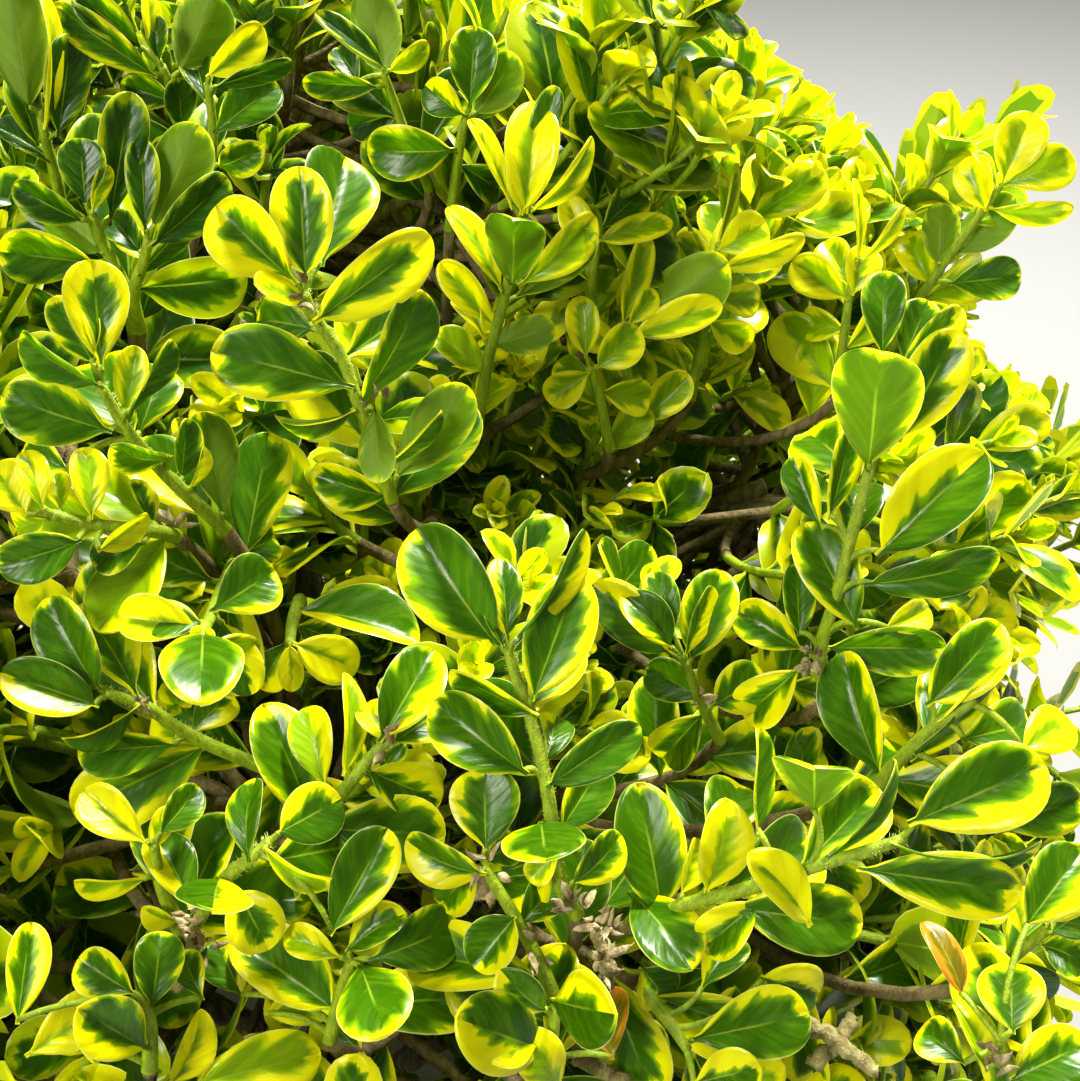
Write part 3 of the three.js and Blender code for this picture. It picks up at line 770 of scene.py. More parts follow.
# The photograph shows hollows between the front shoots: their pixels, widths in pixels and depths in mm.
HOLLOWS = (((742, 500), 80, 46), ((650, 505), 50, 14), ((250, 385), 40, 16), ((0, 895), 50, 24),
           ((1050, 680), 40, 36), ((1045, 450), 34, 12), ((1145, 460), 45, 44))
print(SHOOTS, "shoots and", LEADERS, "leaders;", len(HOLLOWS), "hollows between them")

# %% Curves of the leaders, in crown millimetres
FORK_INWARD, FORK_SPREAD = 6, 22
LEADER_SWELL = 24


def angle_between(first, second):
    return np.arccos(np.clip(np.sum(first * second, -1), -1, 1))


own_way = mass_ways[leader_mass]
fork_distance = STEM_END_DISTANCE - FORK_INWARD - FORK_SPREAD * angle_between(leader_ways, own_way)
leader_foot = own_way * fork_distance[:, None]
leader_tip = leader_ways * (crown_radius(leader_ways) + leader_reach)[:, None]
leader_bend = unit(own_way * 0.4 + leader_ways * 0.6) * (STEM_END_DISTANCE + LEADER_SWELL)
print("leaders start", fork_distance.min().round(), "to", fork_distance.max().round(), "mm from the centre")

# %% Directions of the shoots
CROWD_SPREAD, WAY_SPREAD = 0.6, 0.018
draw = np.random.default_rng(7)
inside = np.arange(SHOOTS + LEADERS) >= SURFACE_SHOOTS
inside[SHOOTS:] = False
crowded = [at(SMALL_PLACE[0] + across, SMALL_PLACE[1] + down, CROWDED_DISTANCE)
           for across, down in draw.normal(0, SMALL_WIDTH * CROWD_SPREAD, (CROWDED_SHOOTS, 2))]
thin = [at(*spot) for spot in THIN_PLACES]
even_ways = np.vstack([spiral(SURFACE_SHOOTS - CROWDED_SHOOTS), unit(np.array(crowded) - CROWN_CENTRE),
                       spiral(INNER_SHOOTS - len(thin)), unit(np.array(thin) - CROWN_CENTRE)])
shoot_ways = unit(even_ways + draw.normal(0, WAY_SPREAD, (SHOOTS, 3)))
print(len(shoot_ways), "directions, of them", inside.sum(), "inside")

# %% Curves of the shoots
# A shoot close to a leader's direction runs out with it, and starts on it.
LEADER_SPREAD, FOLLOW_FALL, BEHIND_LEADER = 0.15, 1.6, 14
BRANCH_AT, INNER_BRANCH_SHARE = (0.12, 0.62), 0.2
LEAN_SPREAD, LEAN_UP, BEND_SHARE = 0.16, np.array([0, 0, 0.1]), 0.55
nearness = shoot_ways @ leader_ways.T
shoot_leader = np.argmax(nearness, 1)
off_leader = np.arccos(np.clip(nearness.max(1), -1, 1))
shoot_mass = leader_mass[shoot_leader]
follow = np.exp(-((off_leader / LEADER_SPREAD) ** 2) * FOLLOW_FALL) * ~inside[:SHOOTS]
dip = np.append(draw.uniform(*SHOOT_DIP, SURFACE_SHOOTS), draw.uniform(*INNER_DIP, INNER_SHOOTS))
with_leader = leader_reach[shoot_leader] - draw.uniform(0, BEHIND_LEADER, SHOOTS)
shoot_reach = dip + (with_leader - dip) * follow
shoot_tip = shoot_ways * (crown_radius(shoot_ways) + shoot_reach)[:, None]
branch_at = draw.uniform(*BRANCH_AT, SHOOTS) * np.where(inside[:SHOOTS], INNER_BRANCH_SHARE, 1)
shoot_foot = bezier(leader_foot[shoot_leader], leader_bend[shoot_leader], leader_tip[shoot_leader],
                    branch_at[:, None])[:, 0]
lean = draw.normal(0, LEAN_SPREAD, (SHOOTS, 3)) + LEAN_UP
bend_back = np.linalg.norm(shoot_tip - shoot_foot, axis=1) * BEND_SHARE
shoot_bend = shoot_tip - unit(shoot_ways + lean) * bend_back[:, None]
print("shoots reach", shoot_reach.min().round(), "to", shoot_reach.max().round(), "mm past the ball")

# %% The young ends of the leaders
# Each leader ends in a young shoot too: the outer part of its own curve. Those that the camera looks at end
# on keep their length, and the others run on a little.
WOODY_SHARE, LEADER_RUN_ON = 0.5, 15
shoot_foot = np.vstack([shoot_foot, bezier(leader_foot, leader_bend, leader_tip, [WOODY_SHARE])[:, 0]])
shoot_bend = np.vstack([shoot_bend, leader_bend * (1 - WOODY_SHARE) + leader_tip * WOODY_SHARE])
run_on = LEADER_RUN_ON * (1 - np.clip(leader_ways @ unit(camera_place - CROWN_CENTRE), 0, 1))
shoot_tip = np.vstack([shoot_tip, leader_tip + leader_ways * run_on[:, None]])
shoot_ways = np.vstack([shoot_ways, leader_ways])
shoot_mass = np.append(shoot_mass, leader_mass)
SHOOTS += LEADERS
print(SHOOTS, "shoots with the leaders' ends")

# %% Hollows between the shoots
HOLLOWS_END_AT, BEND_FOLLOWS = 0.45, 0.8
tip_column, tip_row, tip_deep = to_pixels(shoot_tip + CROWN_CENTRE)
in_front = shoot_ways[:, 1] < HOLLOWS_END_AT
for (column, row), wide, deeper in HOLLOWS:
    from_middle = np.hypot(tip_column - column, tip_row - row) / wide
    sunk = deeper * np.exp(-(from_middle**4)) * in_front
    shoot_tip -= shoot_ways * sunk[:, None]
    shoot_bend -= shoot_ways * sunk[:, None] * BEND_FOLLOWS
    print("hollow at", (column, row), "sinks", (sunk > 1).sum(), "shoots")

# %% [markdown]
# ## Joined meshes
# A cylinder for each stem and an object for each leaf would make tens of thousands of objects. A mesh can
# also be filled from three arrays: the corners' places, the corner numbers of every face, and how many
# corners each face has. NumPy works these out for all stems or all leaves of a kind at once, and they
# become one mesh.

# %% Joined meshes from arrays
def joined_mesh(name, corners, loops, totals):
    """A mesh from arrays: all corners in millimetres, each face's corner numbers, and corners a face."""
    mesh = bpy.data.meshes.new(name)
    mesh.vertices.add(len(corners))
    mesh.vertices.foreach_set("co", (corners * MM).astype(np.float32).ravel())
    mesh.loops.add(len(loops))
    mesh.loops.foreach_set("vertex_index", loops.astype(np.int32))
    mesh.polygons.add(len(totals))
    mesh.polygons.foreach_set("loop_start", (np.cumsum(totals) - totals).astype(np.int32))
    mesh.polygons.foreach_set("loop_total", totals.astype(np.int32))
    mesh.polygons.foreach_set("use_smooth", np.ones(len(totals), bool))
    mesh.update(calc_edges=True)
    return mesh


def join(pieces):
    """One set of arrays from several."""
    corners, loops, totals = zip(*pieces)
    starts = np.cumsum([0] + [len(part) for part in corners])
    shifted = [part + start for part, start in zip(loops, starts)]
    return np.concatenate(corners), np.concatenate(shifted), np.concatenate(totals)


def copied(part, base, turns):
    """Copies of one colour of a pattern leaf at many places, as joined arrays."""
    corners, loops, totals = part
    placed = np.einsum("nij,cj->nci", turns, corners) + base[:, None]
    shift = np.arange(len(base))[:, None] * len(corners)
    return placed.reshape(-1, 3), (loops + shift).ravel(), np.tile(totals, len(base))


print("a mesh needs corners, loops and totals, here", [len(part) for part in far_leaves[0][MARGIN]])

# %% Tubes round many lines at once
UPRIGHT, LEVEL = [[[0.0, 0.0, 1.0]]], [[[1.0, 0.0, 0.0]]]


def tubes(lines, foot_radius, tip_radius, sides, swelling=1.0):
    """Tapering tubes round many lines at once, with closed tips: lines is count by points by 3."""
    count, points = lines.shape[:2]
    radii = np.linspace(foot_radius, tip_radius, points) * swelling
    ahead = unit(np.gradient(lines, axis=1))
    helper = np.where(np.abs(ahead[:, :1, 2:]) < 0.9, UPRIGHT, LEVEL)
    sideways = unit(np.cross(ahead, helper))
    across = np.cross(sideways, ahead)
    angle = np.arange(sides) * 2 * math.pi / sides
    outward = sideways[:, :, None] * np.cos(angle)[:, None] + across[:, :, None] * np.sin(angle)[:, None]
    corners = (lines[:, :, None] + outward * radii[:, None, None]).reshape(-1, 3)
    start = np.arange(count)[:, None, None] * points * sides
    here = start + np.arange(points - 1)[:, None] * sides + np.arange(sides)
    after = start + np.arange(points - 1)[:, None] * sides + (np.arange(sides) + 1) % sides
    walls = np.stack([here, here + sides, after + sides, after], -1).reshape(-1, 4)
    tips = start[:, 0] + (points - 1) * sides + np.arange(sides)[::-1]
    loops = np.concatenate([walls.ravel(), tips.ravel()])
    totals = np.concatenate([np.full(len(walls), 4), np.full(count, sides)])
    return corners, loops, totals


def stem_piece(name, finish, slot, *stems):
    """One piece from the arrays of one or more calls of tubes."""
    return place_piece(name, joined_mesh(name, *join(stems)), finish)


one_tube = tubes(np.array([[[0, 0, 0], [0, 0, 1]]], float), 1, 1, 6)
print("a tube of two points and six sides has", len(one_tube[2]), "faces")

# %% Woody twigs from the boughs to the leaders
STEM_AHEAD, ROOT_FROM, ROOT_BEND = 18, 24, 12
stem_foot = mass_ways * BOUGH_TIP_DISTANCE
stem_ahead = np.array([unit(bough_lines[name][2] - bough_lines[name][1]) for name in mass_names])
own_way = mass_ways[leader_mass]
stem_lines = bezier(stem_foot, stem_foot + stem_ahead * STEM_AHEAD, mass_ways * STEM_END_DISTANCE,
                    np.linspace(0, 1, 9))
leader_lines = bezier(leader_foot, leader_bend, leader_tip, np.linspace(0, WOODY_SHARE, 8))
root_lines = bezier(own_way * (STEM_END_DISTANCE - ROOT_FROM), own_way * (STEM_END_DISTANCE - ROOT_BEND),
                    leader_foot, np.linspace(0, 1, 5))
for name, lines, radii, sides in (("mass_stems", stem_lines, (3.3, 2.2), 10),
                                  ("leader_roots", root_lines, (2.0, 1.7), 8),
                                  ("leader_twigs", leader_lines, (1.75, 1.3), 8)):
    stem_piece(name, twig_bark, "bark", tubes(lines + CROWN_CENTRE, *radii, sides))
    print(name, len(lines), "limbs")

# %% Which shoots the camera sees
# The second number is a cosine: shoots that point further away from the camera are behind the crown.
EDGE_PIXELS, LEAST_FACING = 70, -0.12


def in_picture(column, row, margin):
    """Whether pixels lie in the photograph or close outside its edges."""
    beside = (column > -margin) & (column < IMAGE_WIDTH + margin)
    return beside & (row > -margin) & (row < IMAGE_HEIGHT + margin)


tip_column, tip_row, tip_deep = to_pixels(shoot_tip + CROWN_CENTRE)
to_camera = unit(camera_place - CROWN_CENTRE - shoot_tip)
facing = np.sum(shoot_ways * to_camera, 1) > LEAST_FACING
in_view = ~inside & facing & in_picture(tip_column, tip_row, EDGE_PIXELS)
print(in_view.sum(), "shoots in view")

# %% [markdown]
# ## The shoots in front
# The nearest shoots of the photograph are modelled one by one. Each is a stem through named pixels with its
# distance from the camera, and a list of leaves. A leaf is given by the pixels of its foot and its tip, its
# width in pixels, whether it leans towards the camera (1), away from it (-1) or neither (0), its roll in
# degrees, and what it is: grown, glossy with a wide green middle, edged with a broad yellow rim, young,
# lime for the light ones further back, shaded for a darker copy with painted shade, autumn for an orange
# one, or pale when it shows its underside.

# %% The front shoots, in pixels of the photograph
FRONT_SHOOTS = {
    "central": (
        [(577, 915, 188), (561, 885, 184), (547, 788, 179), (532, 722, 177), (517, 680, 176),
         (507, 645, 175)],
        [(497, 645, 414, 529, 84, 0, -12, "grown"), (507, 640, 501, 556, 38, 0, 8, "edged"),
         (503, 648, 480, 584, 30, 1, 30, "pale"), (514, 644, 590, 533, 42, 0, 62, "grown"),
         (532, 701, 578, 575, 72, 0, 10, "grown"), (538, 716, 449, 672, 52, 1, -48, "glossy"),
         (528, 774, 432, 701, 66, 0, -8, "glossy"), (546, 764, 557, 712, 44, -1, 0, "grown"),
         (546, 787, 639, 725, 46, 0, 14, "glossy"), (560, 832, 602, 765, 48, -1, 20, "grown"),
         (541, 822, 546, 860, 80, 1, 0, "grown"), (572, 884, 624, 836, 44, 0, 30, "grown"),
         (556, 872, 505, 905, 56, -1, -20, "grown"), (560, 850, 528, 880, 30, 0, 0, "young")]),
    "lower_left_of_central": (
        [(560, 1010, 190), (534, 951, 186), (505, 900, 183), (482, 866, 181)],
        [(487, 874, 403, 845, 50, 0, -35, "grown"), (486, 852, 484, 768, 72, 0, 0, "grown"),
         (516, 915, 474, 968, 54, 0, 10, "grown"), (520, 925, 560, 880, 46, -1, 0, "glossy"),
         (478, 866, 438, 905, 52, -1, 0, "grown"), (484, 862, 520, 838, 40, -1, 0, "grown")]),
    "upper_left": (
        [(392, 500, 204), (372, 440, 196), (357, 400, 192), (341, 355, 190), (316, 318, 188),
         (303, 290, 186)],
        [(297, 284, 215, 206, 70, 0, -10, "edged"), (306, 280, 299, 166, 62, 0, 0, "edged"),
         (320, 268, 345, 157, 84, -1, 10, "grown"), (314, 322, 431, 236, 64, 0, 18, "edged"),
         (306, 298, 254, 284, 40, 1, 40, "young"), (341, 360, 425, 300, 86, -1, 5, "grown"),
         (354, 388, 211, 350, 74, 0, 8, "glossy"), (356, 410, 276, 422, 46, 0, -66, "grown"),
         (374, 404, 379, 482, 38, 0, 180, "pale"), (384, 470, 441, 410, 40, 0, 72, "grown"),
         (394, 480, 468, 388, 60, 0, 176, "pale"), (390, 496, 312, 474, 44, -1, -20, "grown"),
         (316, 330, 250, 318, 54, -1, 10, "grown")]),
    "left": (
        [(226, 530, 198), (174, 482, 190), (130, 434, 186), (100, 384, 183)],
        [(102, 370, 93, 260, 64, 0, 4, "edged"), (96, 366, 53, 297, 38, 0, -20, "grown"),
         (92, 360, 101, 318, 22, 1, 75, "young"), (102, 386, 18, 338, 52, 0, -58, "grown"),
         (113, 432, 1, 396, 68, 0, -6, "glossy"), (130, 414, 171, 339, 44, 0, 62, "pale"),
         (138, 436, 163, 364, 52, -1, 10, "grown"), (124, 416, 136, 346, 34, -1, 0, "young"),
         (172, 456, 113, 455, 44, 1, -64, "grown"), (224, 518, 203, 412, 52, 0, 170, "pale"),
         (190, 490, 203, 446, 26, 1, 68, "young"), (182, 480, 187, 418, 34, -1, 30, "pale"),
         (70, 470, 20, 448, 40, -1, 0, "grown")]),
    "far_left": (
        [(176, 536, 196), (154, 531, 188), (90, 524, 184), (52, 514, 182)],
        [(44, 510, 27, 449, 32, 0, 0, "young"), (92, 520, 87, 446, 38, 0, 8, "young"),
         (28, 516, -6, 464, 54, 0, 0, "young"), (61, 512, 54, 470, 30, -1, 0, "young"),
         (82, 540, -4, 568, 50, 0, -10, "glossy"), (98, 552, 148, 514, 40, 0, 50, "young"),
         (154, 524, 131, 480, 30, -1, 40, "grown"), (146, 543, 92, 562, 38, 0, 0, "glossy"),
         (52, 518, 10, 530, 42, -1, 0, "young")]),
    "seen_from_above": (
        [(236, 560, 206), (222, 590, 194), (208, 622, 184), (203, 632, 180)],
        [(216, 582, 144, 551, 56, -1, -6, "grown"), (226, 562, 279, 536, 44, -1, 0, "grown"),
         (211, 612, 276, 570, 64, 0, 0, "grown"), (203, 622, 143, 622, 46, 0, 30, "grown"),
         (200, 628, 118, 616, 48, -1, 10, "young"), (203, 636, 201, 688, 78, 1, 0, "grown"),
         (222, 620, 252, 694, 46, -1, 0, "grown"), (204, 630, 214, 640, 16, 1, 30, "young"),
         (202, 630, 192, 636, 16, 1, -30, "young"), (216, 640, 256, 662, 44, -1, 0, "young")]),
    "beside_it": (
        [(300, 600, 206), (292, 625, 198), (290, 645, 194)],
        [(290, 643, 292, 692, 26, 1, 0, "young"), (293, 643, 359, 670, 50, 0, 0, "young"),
         (288, 640, 258, 690, 42, -1, 0, "grown"), (296, 625, 340, 640, 44, -1, 0, "grown")]),
    "right_tall": (
        [(826, 700, 214), (820, 650, 206), (838, 590, 200), (850, 540, 198), (868, 474, 198),
         (882, 400, 198), (888, 358, 199)],
        [(882, 358, 884, 270, 44, 0, 0, "grown"), (902, 364, 928, 300, 42, -1, 0, "glossy"),
         (896, 372, 962, 308, 38, 0, 30, "edged"), (868, 470, 880, 350, 88, 1, 178, "pale"),
         (898, 442, 957, 330, 64, -1, 20, "grown"), (822, 530, 792, 456, 36, 0, -20, "grown"),
         (828, 520, 852, 428, 38, 0, 30, "grown"), (846, 542, 863, 476, 52, -1, 0, "grown"),
         (876, 556, 984, 452, 76, 1, -6, "grown"), (864, 584, 1002, 560, 46, 1, 24, "glossy"),
         (858, 630, 804, 522, 60, 1, 10, "glossy"), (824, 648, 946, 648, 52, 1, 14, "glossy"),
         (803, 650, 734, 608, 46, 0, 0, "grown"), (799, 636, 796, 563, 36, 0, 20, "pale"),
         (786, 684, 853, 706, 40, 1, 0, "grown"), (800, 668, 744, 716, 54, -1, 0, "grown"),
         (846, 700, 928, 656, 62, 0, 8, "glossy"), (884, 628, 932, 608, 34, -1, 10, "young"),
         (832, 600, 812, 560, 32, -1, 0, "grown")]),
    "right_edge": (
        [(870, 790, 206), (930, 730, 200), (975, 700, 198)],
        [(926, 706, 1003, 624, 60, 0, 12, "grown"), (938, 722, 1007, 660, 46, 0, 66, "grown"),
         (908, 760, 994, 682, 50, 0, 62, "grown"), (960, 740, 1036, 722, 62, -1, 0, "pale"),
         (1020, 752, 1072, 716, 52, -1, 0, "young"), (986, 822, 1084, 800, 54, 0, 14, "glossy")]),
    "right_near": (
        [(650, 920, 196), (677, 907, 190), (759, 885, 184), (814, 866, 180), (870, 850, 178),
         (905, 838, 177)],
        [(705, 892, 731, 804, 58, 1, 26, "young"), (680, 896, 698, 838, 34, 0, 40, "young"),
         (629, 892, 691, 962, 66, 1, -20, "grown"), (810, 926, 755, 852, 56, 1, 36, "young"),
         (728, 906, 864, 924, 70, 0, 6, "glossy"), (797, 872, 878, 788, 72, -1, 0, "grown"),
         (826, 858, 903, 765, 50, 0, 66, "pale"), (908, 824, 1045, 764, 84, 0, 4, "grown"),
         (856, 868, 1022, 892, 64, 0, 4, "grown"), (890, 842, 1042, 858, 54, 0, 60, "pale"),
         (600, 912, 668, 812, 74, -1, 6, "glossy"), (709, 856, 742, 777, 62, -1, 0, "grown"),
         (757, 834, 757, 728, 44, 0, 60, "grown"), (814, 812, 814, 752, 80, 1, 180, "pale"),
         (760, 900, 700, 950, 50, -1, 0, "grown")]),
    "middle_right": (
        [(720, 740, 224), (700, 700, 214), (684, 660, 207)],
        [(672, 655, 592, 584, 54, 0, 0, "grown"), (674, 634, 653, 571, 36, 0, 0, "grown"),
         (672, 648, 625, 594, 42, 1, 20, "grown"), (684, 658, 712, 586, 38, 0, 48, "grown"),
         (690, 662, 722, 570, 56, -1, 0, "grown"), (706, 700, 646, 667, 46, 0, -20, "glossy"),
         (712, 706, 764, 672, 54, 0, 10, "grown"), (704, 712, 660, 760, 50, -1, 0, "grown")]),
    "middle_left": (
        [(300, 850, 198), (342, 793, 190), (378, 750, 186), (392, 738, 185)],
        [(380, 742, 434, 648, 60, 0, 0, "grown"), (326, 786, 306, 706, 48, 0, -14, "young"),
         (344, 776, 351, 672, 36, 0, 40, "young"), (392, 744, 446, 706, 50, -1, 0, "glossy"),
         (366, 770, 440, 800, 56, -1, 0, "grown"), (388, 742, 366, 700, 34, -1, 0, "young")]),
    "left_low": (
        [(270, 770, 204), (190, 735, 196), (140, 703, 191), (104, 692, 188)],
        [(100, 690, 45, 597, 62, 0, -20, "glossy"), (137, 697, 82, 602, 62, 0, 20, "edged"),
         (100, 706, 1, 672, 54, 0, 0, "grown"), (140, 704, 65, 744, 44, 0, -66, "grown"),
         (178, 744, 78, 752, 50, 0, -20, "glossy"), (190, 735, 232, 690, 44, -1, 0, "grown")]),
    "lower_left": (
        [(196, 922, 196), (226, 878, 189), (250, 858, 185), (272, 840, 183)],
        [(277, 834, 342, 798, 62, 0, 0, "grown"), (250, 862, 250, 777, 44, 0, -34, "grown"),
         (266, 862, 368, 842, 92, -1, 0, "glossy"), (264, 846, 333, 889, 40, 1, 60, "young"),
         (219, 878, 212, 912, 74, 1, 0, "grown"), (236, 888, 270, 950, 58, 0, 0, "edged"),
         (191, 908, 156, 832, 52, 0, 16, "grown"), (330, 935, 388, 828, 62, -1, 0, "grown")]),
    "lower_left_young": (
        [(180, 930, 200), (160, 880, 194), (154, 842, 190)],
        [(148, 844, 83, 790, 46, 0, -6, "young"), (160, 834, 200, 786, 38, 0, 10, "pale"),
         (152, 896, 53, 884, 62, -1, 6, "grown"), (148, 878, 74, 884, 34, 1, -56, "young"),
         (180, 920, 143, 912, 26, 1, -40, "young"), (152, 850, 170, 806, 24, 1, 0, "young")]),
    "foot_left": (
        [(150, 1070, 192), (150, 1020, 188), (144, 1000, 186)],
        [(136, 994, 78, 958, 48, 0, -10, "grown"), (152, 1008, 162, 930, 50, 0, 6, "grown"),
         (150, 1050, 78, 1008, 62, 1, 0, "grown"), (26, 1056, 112, 998, 54, 1, 0, "young"),
         (18, 1024, 31, 922, 42, 0, 14, "grown"), (196, 1084, 322, 1052, 66, 1, 0, "young"),
         (170, 1084, 206, 1014, 46, 1, 36, "young"), (204, 1000, 180, 950, 34, -1, 0, "grown")]),
    "foot_middle": (
        [(330, 1040, 200), (342, 990, 194), (352, 960, 190)],
        [(343, 958, 284, 932, 34, 0, 0, "young"), (346, 952, 403, 911, 44, 1, -30, "grown"),
         (360, 964, 383, 1026, 74, 1, 0, "grown"), (368, 960, 460, 924, 62, 0, 12, "glossy"),
         (243, 996, 216, 940, 52, 0, 0, "grown"), (264, 1014, 340, 992, 46, -1, 0, "young"),
         (364, 1056, 320, 1010, 54, 0, 10, "grown")]),
    "foot_right": (
        [(640, 985, 200), (668, 1020, 198), (688, 1050, 197)],
        [(688, 1040, 809, 1014, 70, 0, -4, "grown"), (760, 976, 822, 994, 52, -1, 0, "grown"),
         (690, 1084, 762, 1066, 48, 1, 0, "grown"), (700, 990, 736, 930, 48, -1, 0, "grown"),
         (640, 966, 668, 1000, 50, 0, 0, "grown")]),
    "foot_centre": (
        [(548, 1084, 194), (552, 1040, 189), (556, 1005, 186)],
        [(552, 1000, 612, 1014, 72, 1, 10, "grown"), (546, 1010, 503, 976, 44, 1, -20, "grown"),
         (544, 1050, 463, 1020, 76, 1, 0, "grown"), (540, 1040, 484, 1048, 50, 1, 20, "young"),
         (560, 1084, 528, 1040, 50, 1, 0, "young"), (612, 1060, 600, 990, 56, -1, 0, "autumn")]),
    "right_foot_edge": (
        [(960, 990, 214), (1010, 958, 207), (1046, 930, 203)],
        [(1044, 926, 1086, 846, 62, 0, 0, "grown"), (1050, 934, 1092, 902, 52, 0, 0, "grown"),
         (1040, 944, 1086, 962, 50, 0, -20, "grown"), (1024, 940, 1004, 884, 40, 0, 30, "young"),
         (1006, 962, 1050, 1000, 50, -1, 0, "grown")]),
    "top_left_corner": (
        [(66, 230, 252), (56, 175, 244), (46, 140, 240), (40, 110, 238)],
        [(60, 168, -6, 122, 36, 0, 36, "shaded"), (58, 138, 72, 34, 46, 0, 10, "shaded"),
         (44, 130, 50, -10, 28, 0, 50, "young"), (30, 114, 10, -24, 60, 0, 176, "pale"),
         (40, 150, 15, 70, 34, -1, 0, "shaded")]),
    "top_left_second": (
        [(200, 170, 256), (186, 130, 248), (172, 90, 243), (162, 66, 241)],
        [(158, 78, 52, 6, 38, 0, -8, "glossy"), (144, 50, 74, -8, 36, -1, 0, "shaded"),
         (150, 52, 150, -10, 26, 0, 44, "young"), (160, 62, 152, 14, 26, 0, 0, "shaded"),
         (178, 76, 216, -6, 60, 0, 172, "pale"), (182, 130, 178, 80, 34, 1, 20, "shaded"),
         (178, 104, 120, 84, 34, -1, 0, "shaded")]),
    "top_left_third": (
        [(196, 230, 248), (210, 170, 242), (213, 130, 239), (208, 84, 236)],
        [(207, 78, 263, 26, 42, 0, 24, "young"), (213, 88, 292, 62, 26, 0, 36, "shaded"),
         (214, 134, 279, 84, 46, 0, -12, "glossy"), (206, 104, 196, 58, 36, -1, 0, "shaded"),
         (218, 166, 260, 150, 36, 1, 20, "grown")]),
    "rosette_left": (
        [(134, 330, 222), (122, 280, 214), (104, 245, 210), (92, 214, 207)],
        [(86, 206, 80, 138, 46, 0, 0, "shaded"), (84, 222, 12, 186, 36, 0, -16, "shaded"),
         (104, 254, 44, 214, 40, 0, 168, "pale"), (102, 264, -2, 252, 54, 0, -6, "glossy"),
         (92, 214, 107, 165, 24, 0, 36, "young"), (110, 226, 131, 92, 48, -1, 0, "shaded")]),
    "rosette_right": (
        [(140, 330, 222), (134, 292, 214), (144, 262, 210), (149, 238, 208)],
        [(146, 234, 141, 138, 34, 0, 0, "shaded"), (152, 230, 199, 126, 60, 0, 172, "pale"),
         (152, 246, 229, 178, 46, 0, 20, "shaded"), (138, 276, 200, 208, 34, 0, 54, "shaded"),
         (142, 254, 108, 212, 34, -1, 0, "shaded"), (148, 262, 120, 226, 30, -1, 0, "grown")]),
    "top_middle_left": (
        [(430, 190, 262), (408, 140, 256), (392, 96, 252), (384, 74, 250)],
        [(380, 88, 303, 82, 30, 0, -20, "grown"), (386, 70, 316, 12, 26, 0, 30, "shaded"),
         (360, 84, 337, 46, 30, -1, 0, "shaded"), (388, 72, 430, 45, 26, 0, 30, "young"),
         (384, 76, 368, -12, 52, -1, 170, "pale"), (400, 112, 350, 128, 36, -1, 0, "shaded")]),
    "top_middle": (
        [(450, 230, 256), (456, 175, 250), (462, 134, 246), (468, 112, 244)],
        [(470, 108, 475, 26, 48, 0, 0, "glossy"), (466, 116, 424, 86, 38, 0, -14, "grown"),
         (474, 116, 516, 56, 48, 0, 170, "pale"), (456, 150, 366, 152, 54, 0, -10, "glossy"),
         (472, 120, 506, 84, 30, -1, 0, "grown"), (458, 164, 504, 192, 38, -1, 0, "shaded")]),
    "upper_middle": (
        [(478, 420, 236), (490, 352, 230), (505, 296, 227), (514, 245, 225), (522, 214, 224)],
        [(526, 214, 536, 100, 54, 0, 0, "young"), (521, 216, 530, 124, 44, 1, 8, "young"),
         (512, 210, 472, 118, 26, 0, 44, "young"), (530, 212, 598, 142, 30, 0, 40, "young"),
         (522, 200, 556, 86, 32, -1, 0, "glossy"), (502, 292, 452, 204, 38, 0, 36, "young"),
         (512, 290, 514, 212, 60, 1, 174, "pale"), (518, 286, 598, 218, 44, 0, 20, "lime"),
         (512, 300, 598, 236, 38, -1, 166, "pale"), (486, 342, 455, 297, 24, 0, 30, "young"),
         (492, 346, 554, 326, 40, 0, 172, "pale"), (498, 330, 440, 262, 34, -1, 0, "lime")]),
    "middle_pair": (
        [(610, 450, 246), (600, 400, 240), (590, 366, 236)],
        [(586, 358, 580, 296, 34, 0, 0, "lime"), (596, 368, 640, 328, 42, 0, 10, "lime"),
         (590, 372, 545, 398, 36, 0, -10, "lime"), (600, 392, 650, 400, 38, -1, 0, "lime")]),
    "middle_behind": (
        [(590, 340, 254), (592, 285, 246), (598, 236, 243)],
        [(598, 242, 673, 220, 30, 0, -14, "lime"), (600, 230, 646, 188, 40, -1, 0, "glossy"),
         (594, 262, 566, 196, 34, -1, 0, "young")]),
    "upper_right_round": (
        [(640, 440, 254), (628, 380, 247), (624, 334, 243)],
        [(630, 318, 728, 264, 66, 0, 164, "pale"), (630, 336, 722, 304, 38, 0, -8, "lime"),
         (622, 326, 646, 234, 34, 0, 30, "young"), (628, 326, 656, 290, 24, 1, 20, "young"),
         (626, 350, 580, 330, 34, -1, 0, "lime")]),
    "upper_right_tip": (
        [(690, 400, 262), (704, 330, 257), (712, 285, 254), (716, 256, 253)],
        [(718, 246, 737, 163, 20, 0, 56, "young"), (716, 252, 766, 222, 44, 0, 10, "young"),
         (720, 268, 806, 240, 30, 0, 26, "young"), (714, 262, 676, 238, 28, -1, 0, "young"),
         (710, 296, 762, 302, 36, -1, 0, "lime"), (706, 320, 752, 344, 36, 0, 10, "lime")]),
    "right_behind": (
        [(836, 400, 282), (842, 350, 276), (848, 302, 272), (856, 262, 270)],
        [(848, 300, 792, 262, 42, 0, 0, "young"), (852, 296, 868, 246, 38, 0, 10, "young"),
         (857, 262, 857, 178, 18, 0, 54, "young"), (860, 262, 908, 208, 20, 0, 44, "young"),
         (852, 290, 824, 240, 36, -1, 0, "lime"), (846, 330, 798, 322, 36, -1, 0, "lime")]),
    "far_right_tip": (
